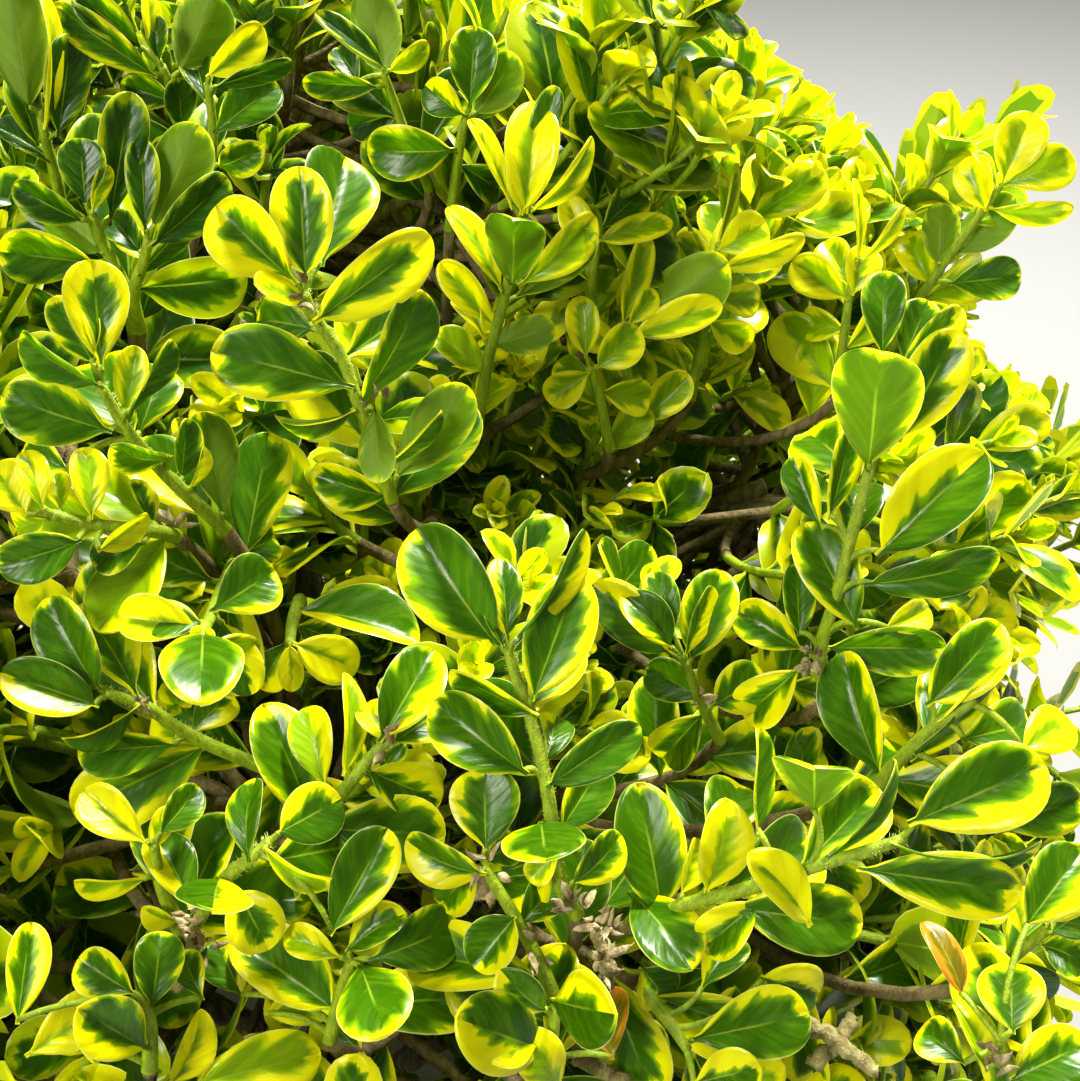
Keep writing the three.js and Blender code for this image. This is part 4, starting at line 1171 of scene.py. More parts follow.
        [(890, 350, 300), (925, 290, 296), (958, 245, 293), (985, 208, 291), (1000, 186, 290)],
        [(1002, 184, 1032, 112, 50, 0, 0, "young"), (1002, 186, 1075, 160, 46, 0, -10, "lime"),
         (986, 212, 968, 156, 40, 0, -16, "young"), (950, 256, 1014, 198, 48, 0, 166, "pale"),
         (988, 208, 1073, 214, 30, 0, 26, "young"), (996, 190, 975, 150, 18, 0, 46, "young"),
         (938, 266, 940, 203, 38, 0, 170, "pale"), (948, 284, 1022, 276, 44, -1, 0, "glossy"),
         (930, 286, 905, 232, 36, -1, 0, "lime")]),
    "right_foot": (
        [(1030, 1090, 196), (1008, 1060, 192), (1000, 1040, 190)],
        [(1012, 1034, 1010, 962, 66, 0, 0, "grown"), (966, 1064, 920, 1026, 46, 0, 0, "grown"),
         (986, 1072, 958, 998, 40, 1, 34, "young"), (1046, 1060, 980, 1040, 36, 1, -30, "grown"),
         (1010, 1080, 1090, 1040, 60, 0, 0, "grown"), (1024, 928, 1084, 848, 64, -1, 0, "grown"),
         (962, 996, 928, 920, 36, -1, 30, "autumn")]),
}
listed = sum(len(leaves) for stem, leaves in FRONT_SHOOTS.values())
print(len(FRONT_SHOOTS), "front shoots with", listed, "leaves")

# %% [markdown]
# ## Stems of the front shoots
# A pixel and a distance from the camera make a point, so each stem is a smooth curve through a few of
# these. Its foot would end in mid-air, because the photograph hides it. So the stem bends inwards there and
# runs on to the nearest of the inner shoots, which are smooth curves too and known already.

# %% Lines of the front stems
# In this round place the shrub is open down to its shade: a pixel, and its radius in pixels.
OPEN_PLACE, OPEN_RADIUS, OPEN_DEPTH = (742, 510), 56, 420.0
STEM_STEPS, LEAD_STEPS = 26, 6
INWARD_PULL, LEAD_BEND, ROOT_DEEPER = 0.8, 0.5, 7
FAR_OFF = 1000
inner_spots = bezier(shoot_foot[inside], shoot_bend[inside], shoot_tip[inside],
                     np.linspace(0.25, 1, 7)).reshape(-1, 3) + CROWN_CENTRE
inner_radii = np.linalg.norm(inner_spots - CROWN_CENTRE, axis=1)


def front_line(spots):
    """A stem through its pixels, which goes on down to the nearest inner shoot."""
    points = np.array([at(*spot) for spot in spots])
    deeper = inner_radii < np.linalg.norm(points[0] - CROWN_CENTRE) - ROOT_DEEPER
    away = np.linalg.norm(inner_spots - points[0], axis=1) + FAR_OFF * ~deeper
    root = inner_spots[np.argmin(away)]
    inward = unit(unit(points[0] - points[1]) + unit(root - points[0]) * INWARD_PULL)
    bend = points[0] + inward * np.linalg.norm(points[0] - root) * LEAD_BEND
    lead = bezier(root, bend, points[0], np.linspace(0, 1, LEAD_STEPS + 1))
    shown = smooth_line(points, np.linspace(0, 1, STEM_STEPS - LEAD_STEPS))
    return np.vstack([lead[:-1], shown])


front_lines = {name: front_line(stem) for name, (stem, leaves) in FRONT_SHOOTS.items()}
stem_lengths = [np.linalg.norm(np.diff(line, axis=0), axis=1).sum() for line in front_lines.values()]
print("front stems are", round(min(stem_lengths)), "to", round(max(stem_lengths)), "mm long")

# %% [markdown]
# ## Leaves of the front shoots
# A leaf's two pixels give its length only if it lies square to the view. For one that leans, the missing
# depth follows from its width, as box leaves keep their proportions. Each leaf faces the camera, rolls by
# its degrees, and gets a little fold, bend and twist of its own. Below the listed leaves a stem gets
# crossed pairs by rule.

# %% One leaf in front
# For each kind of leaf: its finish, the range of its green share, and how lopsided the green may be.
KINDS = {
    "grown": ("grown", (0.55, 1.0), 0.3),
    "glossy": ("grown", (0.8, 1.1), 0.06),
    "edged": ("grown", (0.42, 0.6), 0.2),
    "pale": ("grown", (0.92, 1.05), 0.06),
    "lime": ("young", (0.4, 0.9), 0.2),
    "young": ("young", (0.1, 0.7), 0.2),
    "shaded": ("shaded", (0.75, 1.1), 0.06),
    "autumn": ("autumn", (0.5, 0.9), 0.06),
}
# Ranges of the fold, the bend, the twist and the broadest place.
FRONT_RANGES = ((0.45, 1.45), (-0.05, 0.3), (-0.24, 0.24), (0.53, 0.66))
front_grid = leaf_grid(18, 12)
draw = np.random.default_rng(21)


def turned(vectors, axes, angles):
    """Vectors turned about unit axes that they are square to."""
    return vectors * np.cos(angles)[:, None] + np.cross(axes, vectors) * np.sin(angles)[:, None]


def turned_one(vector, axis, angle):
    return turned(vector[None], axis[None], np.array([angle]))[0]


def front_leaf(foot, tip, width, roll, cup, bend, twist, broadest=0.6, grid=front_grid):
    """Corners of a leaf from foot to tip. Its face turns to the camera, and then rolls by some degrees."""
    length = np.linalg.norm(tip - foot)
    way = (tip - foot) / length
    toward = unit(camera_place - foot)
    face = turned_one(unit(toward - way * (toward @ way)), way, math.radians(roll))
    left = np.cross(face, way)
    corners = leaf_corners(grid, width / length, cup, bend, twist, broadest)
    return foot + length * corners @ np.array([way, left, face])


def drawn_shape(fold_share=1.0):
    fold, *others = (draw.uniform(*ends) for ends in FRONT_RANGES)
    return fold * fold_share, *others


def drawn_numbers(green_range, lopsided):
    """A leaf's seed, its green share and how much further the green reaches on one side."""
    return draw.uniform(), draw.uniform(*green_range), draw.normal(0, lopsided)


print("a front leaf has", len(front_grid[2]), "faces")

# %% The listed leaves
FOLD_LENGTH = 1.75
END_ON, END_ON_FOLD = 0.85, 0.3
ABOVE_STEM = 1.0
UPPER_ROWS, LEFT_COLUMNS, MIDDLE_COLUMNS = 470, 340, 645
PETIOLE_STEPS, PETIOLE_BOW, PETIOLE_OVERLAP = 7, 0.2, 0.05


def where_in_photo(name):
    stem, leaves = FRONT_SHOOTS[name]
    column, row, far = stem[0]
    side = "left" if column < LEFT_COLUMNS else "middle" if column < MIDDLE_COLUMNS else "right"
    return ("upper_" if row < UPPER_ROWS else "lower_") + side


front_parts, petioles, leaf_spots = {}, [], []
for name, (stem, leaves) in FRONT_SHOOTS.items():
    line = front_lines[name]
    column, row, deep = to_pixels(line)
    for *spots, width_pixels, leans, roll, kind in leaves:
        foot_pixel, tip_pixel = spots[:2], spots[2:]
        finish, green_range, lopsided = KINDS[kind]
        near = np.argmin(np.hypot(column - foot_pixel[0], row - foot_pixel[1]))
        far = np.linalg.norm(line[near] - camera_place)
        foot = at(*foot_pixel, far - (ABOVE_STEM if leans >= 0 else -ABOVE_STEM))
        width = width_pixels * deep[near] / FOCAL_PIXELS
        seen = np.linalg.norm(at(*tip_pixel, far) - foot)
        deeper = math.sqrt(max(0.0, (FOLD_LENGTH * width) ** 2 - seen**2)) if leans else 0.0
        tip = at(*tip_pixel, far - leans * deeper)
        shape = drawn_shape(END_ON_FOLD if width > seen * END_ON else 1.0)
        leaf = (front_leaf(foot, tip, width, roll, *shape), drawn_numbers(green_range, lopsided))
        front_parts.setdefault((where_in_photo(name), finish), []).append(leaf)
        leaf_spots.append(bezier(foot, (foot + tip) / 2, tip, np.linspace(0.15, 0.95, 5)))
        ahead = unit(line[near] - line[near - 1])
        control = line[near] * 0.6 + foot * 0.4 + ahead * np.linalg.norm(foot - line[near]) * PETIOLE_BOW
        petioles.append(bezier(line[near - 1], control, foot + (tip - foot) * PETIOLE_OVERLAP,
                               np.linspace(0, 1, PETIOLE_STEPS)))
leaf_spots = np.concatenate(leaf_spots)
print(len(petioles), "listed leaves")

# %% Pairs lower down on the stems
# The pairs of these shoots take the shaded finish, a darker copy: painted shade.
SHADED_SHOOTS = ("top_left_corner", "top_left_second", "top_left_third", "rosette_left", "rosette_right",
                 "top_middle_left", "top_middle")
LIME_SHOOTS = ("upper_middle", "middle_pair", "middle_behind", "upper_right_round", "upper_right_tip",
               "right_behind", "far_right_tip", "far_left")
# The first four of these are small as well.
SMALL_SHOOTS, SMALL_SHARE = LIME_SHOOTS[:4], 0.66
NODE_STEP, NODE_CLEAR, LOWEST_NODE = 9.5, 5.0, 0.3
PAIR_TURN, PAIR_SPREAD, PAIR_ROLL = 0.2, (62, 8), 22
PAIR_LENGTHS, PAIR_WIDTHS = (17, 21), (9, 11.5)
OPEN_MARGIN, TOWARDS_CAMERA = 1.2, 0.35
REFERENCE = [0.3, 0.2, 1.0]


def on_line(line, run, spot):
    """The point of a line at a distance along it."""
    return np.array([np.interp(spot, run, line[:, axis]) for axis in range(3)])


for name, line in front_lines.items():
    run = np.concatenate([[0], np.cumsum(np.linalg.norm(np.diff(line, axis=0), axis=1))])
    scale = SMALL_SHARE if name in SMALL_SHOOTS else 1.0
    kind = "shaded" if name in SHADED_SHOOTS else "young" if name in LIME_SHOOTS else "grown"
    for k, spot in enumerate(np.arange(run[-1] - NODE_STEP, run[-1] * LOWEST_NODE, -NODE_STEP)):
        foot = on_line(line, run, spot)
        ahead = unit(on_line(line, run, spot + 1) - foot)
        level = unit(np.cross(ahead, REFERENCE))
        for side in (0, math.pi):
            outward = turned_one(level, ahead, k * math.pi / 2 + side + draw.normal(0, PAIR_TURN))
            spread = math.radians(draw.normal(*PAIR_SPREAD))
            way = unit(ahead * math.cos(spread) + outward * math.sin(spread))
            tip = foot + way * draw.uniform(*PAIR_LENGTHS) * scale
            middle = (foot + tip) / 2
            column, row, deep = to_pixels(middle)
            opened = math.hypot(column - OPEN_PLACE[0], row - OPEN_PLACE[1]) < OPEN_RADIUS * OPEN_MARGIN
            close = np.linalg.norm(leaf_spots - middle, axis=1).min() < NODE_CLEAR
            if close or opened or way @ unit(camera_place - foot) > TOWARDS_CAMERA:
                continue
            corners = front_leaf(foot, tip, draw.uniform(*PAIR_WIDTHS) * scale, draw.normal(0, PAIR_ROLL),
                                 *drawn_shape())
            leaf = (corners, drawn_numbers(KINDS["grown"][1], 0.2))
            front_parts.setdefault((where_in_photo(name), kind), []).append(leaf)
print({f"{where} {kind}": len(leaves) for (where, kind), leaves in front_parts.items()})

# %% [markdown]
# ## Dry bud scales, bare twigs and hairs
# Where last year's growth ended, the dry pointed scales of the bud stay round the stem. They are leaves of
# the same kind, a few millimetres long and curled. Bare twigs are tubes whose lines and radii vary a
# little. The young stems are downy, and a few thousand tiny tubes that stand out from them give their soft
# edge.

# %% Dry bud scales
# Each spot is a pixel, its distance from the camera, and how many scales stand round it.
SCALE_SPOTS = ((572, 903, 184, 9), (603, 928, 185, 11), (606, 968, 187, 9), (534, 952, 186, 5),
               (487, 860, 180, 4), (814, 655, 203, 8), (176, 530, 196, 6), (190, 922, 193, 9),
               (204, 948, 196, 7), (378, 398, 194, 4), (146, 708, 190, 4), (392, 742, 184, 4),
               (700, 702, 213, 5), (303, 288, 185, 3), (990, 1058, 190, 5))
SCALE_PULLS, SCALE_SCATTER, SCALE_FOOT_SCATTER = (0.5, np.array([0, 0, 0.35])), 0.8, 0.7
SCALE_LENGTHS, SCALE_WIDTHS, SCALE_ROLLS = (2.4, 4.8), (0.9, 1.6), (-80, 80)
SCALE_CURL, SCALE_BENDS, SCALE_TWISTS = -2.2, (0.2, 0.6), (-0.6, 0.6)
scale_leaves = []
for column, row, far, count in SCALE_SPOTS:
    spot = at(column, row, far)
    for k in range(count):
        pull = unit(camera_place - spot) * SCALE_PULLS[0]
        way = unit(pull + draw.normal(0, SCALE_SCATTER, 3) + SCALE_PULLS[1])
        foot = spot + way * 0.5 + draw.normal(0, SCALE_FOOT_SCATTER, 3)
        tip = foot + way * draw.uniform(*SCALE_LENGTHS)
        corners = front_leaf(tip, foot, draw.uniform(*SCALE_WIDTHS), draw.uniform(*SCALE_ROLLS), SCALE_CURL,
                             draw.uniform(*SCALE_BENDS), draw.uniform(*SCALE_TWISTS), grid=near_grid)
        scale_leaves.append((corners, (draw.uniform(), 0.5, 0.0)))
print(len(scale_leaves), "bud scales")

# %% Bare twigs
BARE_TWIGS = (
    ((792, 1014, 206), (832, 1038, 206), (876, 1070, 207)),
    ((566, 1052, 203), (598, 1066, 203), (630, 1086, 204)),
    ((812, 1066, 208), (836, 1042, 208), (852, 1016, 210)),
    ((178, 985, 204), (196, 946, 198), (186, 918, 194)),
    ((600, 1000, 194), (606, 962, 188), (596, 925, 187)),
)
TWIG_STEPS, TWIG_WANDER = 16, 0.22
twig_along = np.linspace(0, 1, TWIG_STEPS)
twig_points = [np.array([at(*spot) for spot in spots]) for spots in BARE_TWIGS]
twig_lines = np.array([smooth_line(points, twig_along) for points in twig_points])
twig_lines += draw.normal(0, TWIG_WANDER, twig_lines.shape)
print(len(twig_lines), "bare twigs")

# %% Hairs
HAIRS_A_STEM, HAIR_LENGTH, HAIR_SHARES, HAIR_RADIUS = 260, 0.42, (0.6, 1.5), 0.045
HAIR_FOOT_RADIUS, HAIR_LEAN = 0.85, 0.4
HAIRY_SHOOTS = ("central", "right_near", "upper_left", "left", "right_tall", "middle_left", "left_low",
                "lower_left")
hair_lines = []
for name in HAIRY_SHOOTS:
    line = front_lines[name][LEAD_STEPS + 2:]
    spot = draw.integers(0, len(line) - 1, HAIRS_A_STEM)
    slide = draw.uniform(0, 1, (HAIRS_A_STEM, 1))
    middle = line[spot] * (1 - slide) + line[spot + 1] * slide
    ahead = unit(line[spot + 1] - line[spot])
    outward = draw.normal(0, 1, (HAIRS_A_STEM, 3))
    outward = unit(outward - ahead * np.sum(outward * ahead, 1)[:, None])
    foot = middle + outward * HAIR_FOOT_RADIUS
    hair = unit(outward + ahead * HAIR_LEAN) * HAIR_LENGTH * draw.uniform(*HAIR_SHARES, (HAIRS_A_STEM, 1))
    hair_lines.append(np.stack([foot, foot + hair], 1))
hair_lines = np.concatenate(hair_lines)
print(len(hair_lines), "hairs")

# %% [markdown]
# ## The front shoots as pieces
# All leaves of one finish in one part of the picture become one mesh. The feathered finish needs two things
# that it can't get from a joined mesh's shape: where a point lies on its own leaf, which goes into a map,
# and the three numbers that make the leaf differ from its neighbours, which go into an attribute.

# %% Front leaves as pieces
def blade_piece(name, grid, corners, numbers, finish):
    """Joined leaves with their map, and each leaf's three numbers as an attribute of its corners."""
    u, v, faces = grid
    count = len(corners)
    loops = (faces[None] + np.arange(count)[:, None, None] * len(u)).reshape(-1)
    mesh = joined_mesh(name, np.reshape(corners, (-1, 3)), loops, np.full(count * len(faces), 4))
    own_map = np.tile(np.stack([u, v / 2 + 0.5], 1), (count, 1))[loops].astype(np.float32)
    mesh.uv_layers.new(name="blade").data.foreach_set("uv", own_map.ravel())
    numbers = np.repeat(numbers, len(u), axis=0).astype(np.float32)
    mesh.attributes.new("leaf", "FLOAT_VECTOR", "POINT").data.foreach_set("vector", numbers.ravel())
    return place_piece(name, mesh, finish)


for (where, kind), leaves in front_parts.items():
    name = f"front_leaves_{where}_{kind}"
    blade_piece(name, front_grid, *zip(*leaves), leaf_finish[f"front_{kind}"])
    print(name, len(leaves), "leaves")

# %% Front stems, bud scales, bare twigs and hairs as pieces
STEM_RADII, PETIOLE_RADII, FOOT_RADII, TWIG_RADII = (1.12, 0.72), (0.56, 0.42), (1.2, 1.12), (1.35, 1.0)
KNOB_SWELL, KNOB_WAVE = 0.16, 2.1
lines = np.array(list(front_lines.values()))
stem_piece("front_stems", green_stem, "foliage", tubes(lines[:, LEAD_STEPS:], *STEM_RADII, 10),
           tubes(np.array(petioles), *PETIOLE_RADII, 6))
stem_piece("front_stem_feet", shaded_bark, "bark", tubes(lines[:, :LEAD_STEPS + 1], *FOOT_RADII, 10))
blade_piece("bud_scales", near_grid, *zip(*scale_leaves), dry_scale)
knobs = 1 + KNOB_SWELL * np.sin(np.arange(TWIG_STEPS) * KNOB_WAVE)
stem_piece("bare_twigs", twig_bark, "bark", tubes(twig_lines, *TWIG_RADII, 12, knobs))
stem_piece("stem_hairs", hair_finish, "foliage", tubes(hair_lines, HAIR_RADIUS, HAIR_RADIUS * 0.2, 3))
print("front stems", len(lines), "and petioles", len(petioles))

# %% [markdown]
# ## Clearing the view
# The seeded shoots know nothing of the front ones, so some would stand before them. Pulling such a shoot
# back towards the crown's centre, just far enough to pass behind, keeps the crown full. To leave it out
# would open a hole.

# %% Shoots that would hide the front ones are kept shorter
CLEAR_PIXELS, CLEAR_BEHIND = 44, 5.0
SHORTEST_REACH = -34.0
samples = np.concatenate([*front_lines.values(), leaf_spots, *(line[::3] for line in twig_lines)])
sample_column, sample_row, sample_deep = to_pixels(samples)


def in_the_way(points, pixels, behind):
    """How many millimetres each point has to go back to stand behind the front shoots near its pixel."""
    column, row, deep = to_pixels(points)
    close = np.hypot(column[:, None] - sample_column, row[:, None] - sample_row) < pixels
    return np.where(close, sample_deep + behind - deep[:, None], 0.0).max(1, initial=0.0)


seen_shoots = np.flatnonzero(in_view)
for attempt in range(3):
    too_near = in_the_way(shoot_tip[seen_shoots] + CROWN_CENTRE, CLEAR_PIXELS, CLEAR_BEHIND)
    radius = np.linalg.norm(shoot_tip[seen_shoots], axis=1)
    least = crown_radius(shoot_ways[seen_shoots]) + SHORTEST_REACH
    lowered = np.maximum(radius - too_near, np.minimum(least, radius))
    step = shoot_tip[seen_shoots] * (lowered / radius)[:, None] - shoot_tip[seen_shoots]
    shoot_tip[seen_shoots] += step
    shoot_bend[seen_shoots] += step * BEND_FOLLOWS
    print((too_near > 0).sum(), "shoots were in the way")

# %% [markdown]
# ## Leaves on the shoots
# Box leaves stand in crossed pairs: each pair is turned a quarter round from the one below. The youngest
# are small, upright and close together at the tip, and the grown ones lean out. Every leaf turns its glossy
# face to the light. The leaf's place and turn are worked out for whole generations at once, and the pattern
# leaves are then copied to them as arrays.

# %% How the leaves sit on a shoot
# From the tip down: how far each pair is from the tip, how long its leaves are, and how far they lean out.
NODES_FROM_TIP = (1.0, 4.5, 10.5, 18.0, 26.5, 35.5, 45.0)
LEAF_LENGTHS = (8.0, 13.0, 18.0, 20.5, 20.5, 19.5, 18.0)
LEAF_SPREADS = (22, 36, 50, 60, 66, 70, 74)
CURVE_LONGER, LEAFY_PART = 1.04, 0.86
VIGOUR, SMALLER = (0.84, 1.12), 0.36
shoot_length = np.linalg.norm(shoot_tip - shoot_foot, axis=1) * CURVE_LONGER
nodes_kept = np.clip((shoot_length * LEAFY_PART / NODE_STEP).astype(int), 4, len(NODES_FROM_TIP))
from_small = np.hypot(tip_column - SMALL_PLACE[0], tip_row - SMALL_PLACE[1])
vigour = draw.uniform(*VIGOUR, SHOOTS) * (1 - SMALLER * np.exp(-((from_small / SMALL_WIDTH) ** 2)))
turn = draw.uniform(0, 2 * math.pi, SHOOTS)
print("shoots by their pairs of leaves", np.bincount(nodes_kept)[4:])

# %% Which shoots get painted light and which get painted shade
TINT_PAINTED_LIGHT, TINT_PAINTED_SHADE, TINT_YOUNG, TINT_LIME = 0, 1, 2, 3
# Some places get painted shade and some painted light: pixel, width in pixels, share of painted shade.
SHADE_USUAL = 0.4
SHADES = ((80, 90, 300, 0.9), (330, 900, 170, 0.4), (980, 960, 190, 0.45), (560, 400, 170, -0.35))
# Round this pixel most grown leaves and those of the inner shoots are lime: painted light. Width in pixels.
LIME_PLACE, LIME_WIDTH, LIME_SHARE = (640, 290), 205, 0.75
shade = np.full(SHOOTS, SHADE_USUAL)
for column, row, wide, darker in SHADES:
    shade += darker * np.exp(-((np.hypot(tip_column - column, tip_row - row) / wide) ** 2))
lot = draw.uniform(0, 1, SHOOTS)
from_lime = np.hypot(tip_column - LIME_PLACE[0], tip_row - LIME_PLACE[1])
lime = facing & (from_lime < LIME_WIDTH) & (lot > 1 - LIME_SHARE)
inner_painted_shade = inside & ~lime
shoot_tint = np.where((lot < shade) | inner_painted_shade, TINT_PAINTED_SHADE, np.where(lime, TINT_LIME, TINT_PAINTED_LIGHT))
print("shoots by tint", dict(zip(*np.unique(shoot_tint, return_counts=True))))

# %% Turning a pattern leaf to its place
LEAF_LIFT, LIGHT_PULL, SUN_UP, FACE_ROLL = 0.1, 0.45, 0.7, 0.28


def square_to(vectors, ways):
    return unit(vectors - ways * np.sum(vectors * ways, 1)[:, None])


def blades(base, tangent, outward, spread, length, width, curl):
    """Matrices that carry a pattern leaf to its stem, with columns along, left and face."""
    leaning = tangent * np.cos(spread)[:, None] + outward * np.sin(spread)[:, None]
    way = unit(leaning + np.array([0, 0, LEAF_LIFT]))
    sun = unit(unit(base) + np.array([0, 0, SUN_UP]))
    face = square_to(square_to(tangent, way) + LIGHT_PULL * sun, way)
    face = turned(face, way, draw.normal(0, FACE_ROLL, len(base)))
    left = np.cross(face, way)
    return np.stack([way * length[:, None], left * width[:, None], face * curl[:, None]], 2)


print("leaves turn to the sun by a share of", LIGHT_PULL)

# %% Places and turns of the leaves
CLEAR_OF_FOOT, TANGENT_STEP = 4, 0.02
SPREAD_WANDER, LENGTHS, WIDTHS, CURLS = 9, (0.86, 1.12), (0.88, 1.16), (0.5, 1.5)
YOUNG_PAIRS, LAST_PAIR_OUT_OF_SHADE, SHADE_AGES = 2, 4, 1.3
leaves = []
for k, (from_tip, leaf_length, leaf_spread) in enumerate(zip(NODES_FROM_TIP, LEAF_LENGTHS, LEAF_SPREADS)):
    own = np.flatnonzero((nodes_kept > k) & (shoot_length > from_tip + CLEAR_OF_FOOT))
    count = len(own)
    curves = shoot_foot[own], shoot_bend[own], shoot_tip[own]
    t = 1 - from_tip * vigour[own] / shoot_length[own]
    here = bezier(*curves, t[:, None])[:, 0]
    ahead = unit(here - bezier(*curves, t[:, None] - TANGENT_STEP)[:, 0])
    level = unit(np.cross(ahead, np.array(REFERENCE)))
    for side in (0, math.pi):
        round_stem = turn[own] + k * math.pi / 2 + side + draw.normal(0, PAIR_TURN, count)
        outward = turned(level, ahead, round_stem)
        length = leaf_length * vigour[own] * draw.uniform(*LENGTHS, count)
        spread = np.radians(leaf_spread + draw.normal(0, SPREAD_WANDER, count))
        width = length * draw.uniform(*WIDTHS, count)
        turns = blades(here, ahead, outward, spread, length, width, length * draw.uniform(*CURLS, count))
        # In places of painted shade fewer young pairs keep their light colour.
        youthful = draw.uniform(0, 1, count) > (shade[own] - SHADE_USUAL) * SHADE_AGES
        fresh = (k < YOUNG_PAIRS) & youthful
        # Leaves from the sixth pair down and those of the inner shoots get the shaded copy: painted shade.
        in_painted_shade = inner_painted_shade[own] | (k > LAST_PAIR_OUT_OF_SHADE)
        tints = np.where(in_painted_shade, TINT_PAINTED_SHADE, np.where(fresh, TINT_YOUNG, shoot_tint[own]))
        leaves.append((own, here, turns, tints, np.full(count, k)))
leaf_shoot, leaf_base, leaf_turn, leaf_tint, leaf_node = (np.concatenate(part) for part in zip(*leaves))
print(len(leaf_base), "leaves")

# %% Near leaves, far leaves and leaves that are left out
# Leaves inside the photograph's edges and nearer to the camera than this are made from the finer patterns.
EDGE, NEAR_DEPTH = 20, 326.0
LEAST_HEIGHT = 8


def along_leaf(share, leaves=slice(None)):
    """Points of the leaves' middle lines at a share of their length, in row millimetres."""
    return leaf_base[leaves] + leaf_turn[leaves, :, 0] * share + CROWN_CENTRE


leaf_end = along_leaf(1.0)
in_skirt = (leaf_end[:, 2] < SKIRT_TOP) & (np.hypot(leaf_end[:, 0], leaf_end[:, 1]) < SKIRT_RADIUS)
kept = (leaf_end[:, 2] >= LEAST_HEIGHT) & ~in_skirt
column, row, deep = to_pixels(along_leaf(0.6))
leaf_near = in_picture(column, row, EDGE) & (deep < NEAR_DEPTH)
leaf_shape = draw.integers(0, LEAF_SHAPES, len(leaf_base))
print(kept.sum(), "leaves,", (kept & leaf_near).sum(), "of them near")

# %% Leaves that would hide the front shoots are left out
# A shoot that loses many leaves to the open place is left out, and so is one with a bare end.
LEAFY_SHARE, LEAFY_AT_LEAST, LEAFY_NODES = 0.7, 0.5, 3
LEAF_CLEAR_PIXELS, LEAF_CLEAR_BEHIND = CLEAR_PIXELS * 0.6, 1.0


def leaves_a_shoot(chosen):
    return np.bincount(leaf_shoot[chosen], minlength=SHOOTS)


leaves_at_first = leaves_a_shoot(kept)
seen_leaves = np.flatnonzero(kept & (in_view | inside)[leaf_shoot])
for share in (0.5, 1.0):
    too_near = in_the_way(along_leaf(share, seen_leaves), LEAF_CLEAR_PIXELS, LEAF_CLEAR_BEHIND)
    kept[seen_leaves] &= too_near <= 0
column, row, deep = to_pixels(along_leaf(0.5))
from_open_place = np.hypot(column - OPEN_PLACE[0], row - OPEN_PLACE[1])
leaves_before = leaves_a_shoot(kept)
kept &= ~((from_open_place < OPEN_RADIUS) & (deep < OPEN_DEPTH))
leaves_after = leaves_a_shoot(kept)
leafy = (leaves_after > leaves_before * LEAFY_SHARE) & (leaves_after > leaves_at_first * LEAFY_AT_LEAST)
kept &= leafy[leaf_shoot]
leafy &= leaves_a_shoot(kept & (leaf_node < LEAFY_NODES)) > 1
print(kept.sum(), "leaves and", leafy.sum(), "shoots stay")

# %% Pieces of near leaves, far leaves and stems
# The painted light and painted shade tints are lit and shaded copies of the same leaf.
FAR_FINISH = {TINT_PAINTED_LIGHT: ("margin_bright", "centre_bright"), TINT_PAINTED_SHADE: ("margin_deep", "centre_deep"),
              # The lime tint is lighter still: painted light.
              TINT_YOUNG: ("margin_young", "young"), TINT_LIME: ("margin_bright", "young")}
NEAR_FINISH = {TINT_PAINTED_LIGHT: ("grown", (0.5, 0.95)), TINT_PAINTED_SHADE: ("shaded", (0.5, 0.95)),
               TINT_YOUNG: ("young", (0.1, 0.7)), TINT_LIME: ("lime", (0.45, 0.95))}
NEAR_LOPSIDED = 0.2
STEM_POINTS, STEM_SIDES = 5, 5
STEM_PARTS = (("old", (0, 0.5), (1.35, 1.05), shaded_bark), ("young", (0.5, 1), (1.05, 0.75), green_stem))


def near_pieces(region, in_region):
    """The near leaves of a region: a piece for each tint, from the finer patterns."""
    for tinted, (kind, green) in NEAR_FINISH.items():
        own = np.flatnonzero(in_region & leaf_near & (leaf_tint == tinted))
        if not len(own):
            continue
        corners = np.einsum("nij,ncj->nci", leaf_turn[own], near_shapes[leaf_shape[own]])
        corners += (leaf_base[own] + CROWN_CENTRE)[:, None]
        numbers = np.stack([draw.uniform(0, 1, len(own)), draw.uniform(*green, len(own)),
                            draw.normal(0, NEAR_LOPSIDED, len(own))], 1)
        name = f"near_leaves_{region}_{kind}"
        yield blade_piece(name, near_grid, corners, numbers, leaf_finish[f"near_{kind}"])


def far_pieces(region, in_region):
    """The far leaves of a region: a piece for each colour of their margins and centres."""
    found = {}
    for shape, parts in enumerate(far_leaves):
        for tinted in NEAR_FINISH:
            chosen = in_region & ~leaf_near & (leaf_shape == shape) & (leaf_tint == tinted)
            for part, arrays in parts.items():
                copies = copied(arrays, leaf_base[chosen] + CROWN_CENTRE, leaf_turn[chosen])
                found.setdefault(FAR_FINISH[tinted][part], []).append(copies)
    for kind, pieces in sorted(found.items()):
        name = f"leaves_{region}_{kind}"
        yield place_piece(name, joined_mesh(name, *join(pieces)), leaf_finish[kind])


def stem_pieces(region, own):
    """The shoots' stems: an older piece below and a younger one above."""
    for part, shares, radii, finish in STEM_PARTS:
        lines = bezier(shoot_foot[own], shoot_bend[own], shoot_tip[own], np.linspace(*shares, STEM_POINTS))
        stems = tubes(lines + CROWN_CENTRE, *radii, STEM_SIDES)
        yield stem_piece(f"{part}_stems_{region}", finish, "foliage", stems)


print("finishes of near leaves", [kind for kind, green in NEAR_FINISH.values()])

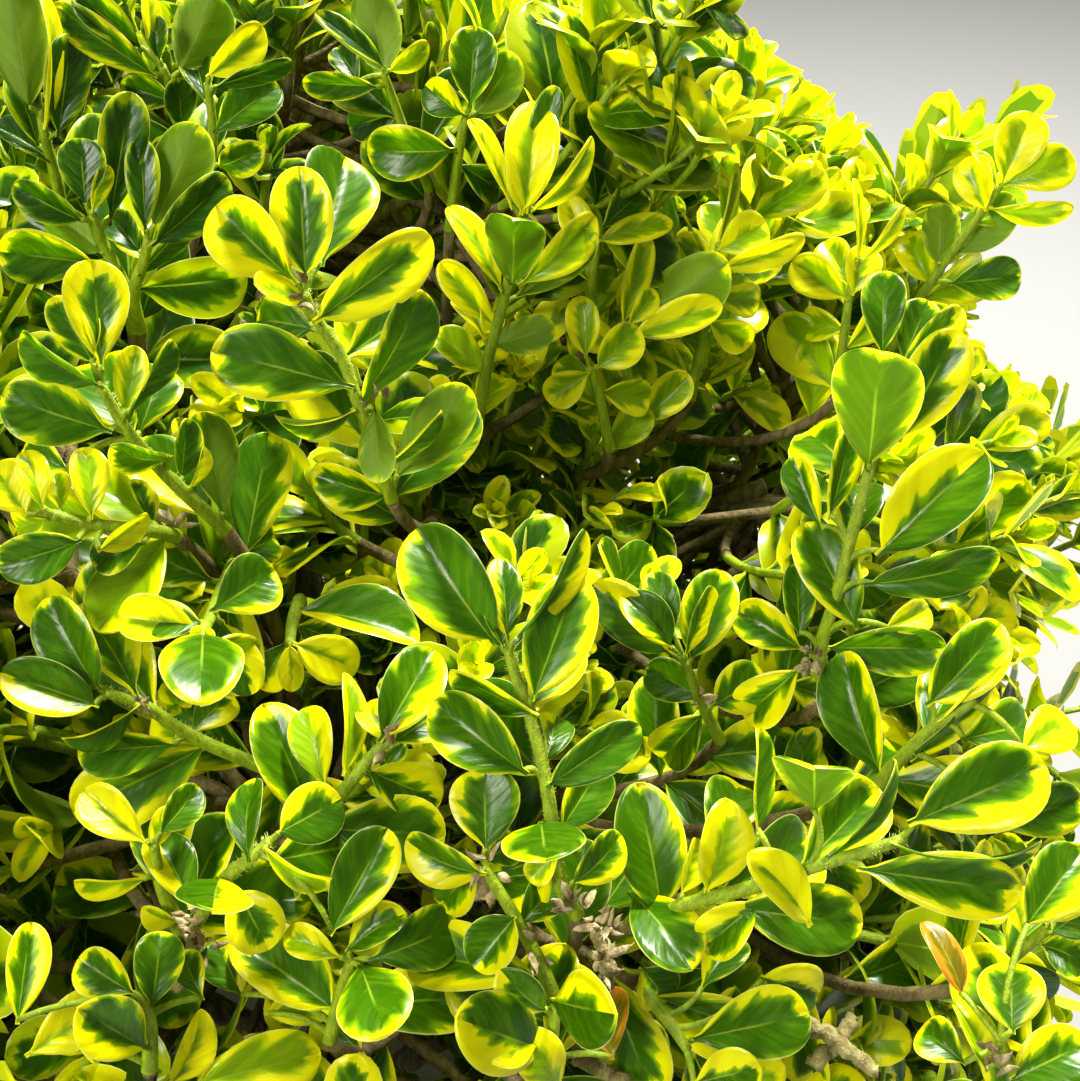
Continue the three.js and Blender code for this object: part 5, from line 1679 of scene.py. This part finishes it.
# %% Leaves and young stems as pieces
# Each piece stands in for the solids of its masses of foliage.
REGIONS = {"upper": [k for k, name in enumerate(mass_names) if not name.startswith("lower")],
           "lower": [k for k, name in enumerate(mass_names) if name.startswith("lower")]}
total = 0
for region, own_masses in REGIONS.items():
    in_region = kept & np.isin(shoot_mass[leaf_shoot], own_masses)
    own_shoots = np.flatnonzero(np.isin(shoot_mass, own_masses) & leafy)
    solids = [f"foliage_{mass_names[k]}" for k in own_masses]
    for piece in chain(near_pieces(region, in_region), far_pieces(region, in_region),
                       stem_pieces(region, own_shoots)):
        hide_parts(*solids)
        triangles = len(piece.data.loops) - 2 * len(piece.data.polygons)
        total += triangles
        print(piece.name, triangles, "triangles")
print(total, "triangles of leaves and stems")

# %% [markdown]
# ## Floor and light
# The plant stands on a plain pale floor. A soft lamp high up behind the right gives the gloss on the leaves
# and the glow through them, as the sun does in the photograph, and a weaker one fills the front from the
# left.

# %% Floor
FLOOR_SIZE, FLOOR_GREY, FLOOR_ROUGHNESS = 6, (0.33, 0.335, 0.36, 1), 0.85
bm = bmesh.new()
bmesh.ops.create_grid(bm, x_segments=1, y_segments=1, size=FLOOR_SIZE)
floor_mesh = bpy.data.meshes.new("floor")
bm.to_mesh(floor_mesh)
bm.free()
floor_finish = bpy.data.materials.new("pale floor")
floor_finish.use_nodes = True
floor_surface = floor_finish.node_tree.nodes["Principled BSDF"]
floor_surface.inputs["Base Color"].default_value = FLOOR_GREY
floor_surface.inputs["Roughness"].default_value = FLOOR_ROUGHNESS
floor_mesh.materials.append(floor_finish)
floor = bpy.data.objects.new("floor", floor_mesh)
bpy.context.scene.collection.objects.link(floor)
print("floor", 2 * FLOOR_SIZE, "m wide")

# %% Lamps and surroundings
SURROUNDINGS, SURROUNDINGS_STRENGTH = (1.0, 0.97, 0.64, 1), 0.22


def lamp(name, place, size, power, warmth, aim=(0, 0, 0.25)):
    light = bpy.data.lights.new(name, "AREA")
    light.shape = "DISK"
    light.size = size
    light.energy = power
    light.color = warmth
    made = bpy.data.objects.new(name, light)
    bpy.context.scene.collection.objects.link(made)
    made.location = place
    made.rotation_euler = (Vector(aim) - Vector(place)).to_track_quat("-Z", "Y").to_euler()


lamp("key", (0.64, 0.46, 1.6), size=0.36, power=76, warmth=(1.0, 0.97, 0.86))
lamp("fill", (-1.0, -0.75, 1.35), size=0.55, power=23, warmth=(1.0, 0.98, 0.84))
world = bpy.data.worlds.new("studio")
world.use_nodes = True
background = world.node_tree.nodes["Background"]
background.inputs["Color"].default_value = SURROUNDINGS
background.inputs["Strength"].default_value = SURROUNDINGS_STRENGTH
bpy.context.scene.world = world
bpy.context.scene.view_settings.view_transform = "Standard"
print(len(bpy.data.lights), "lamps")

# %% Finish
print("the plant is dressed")
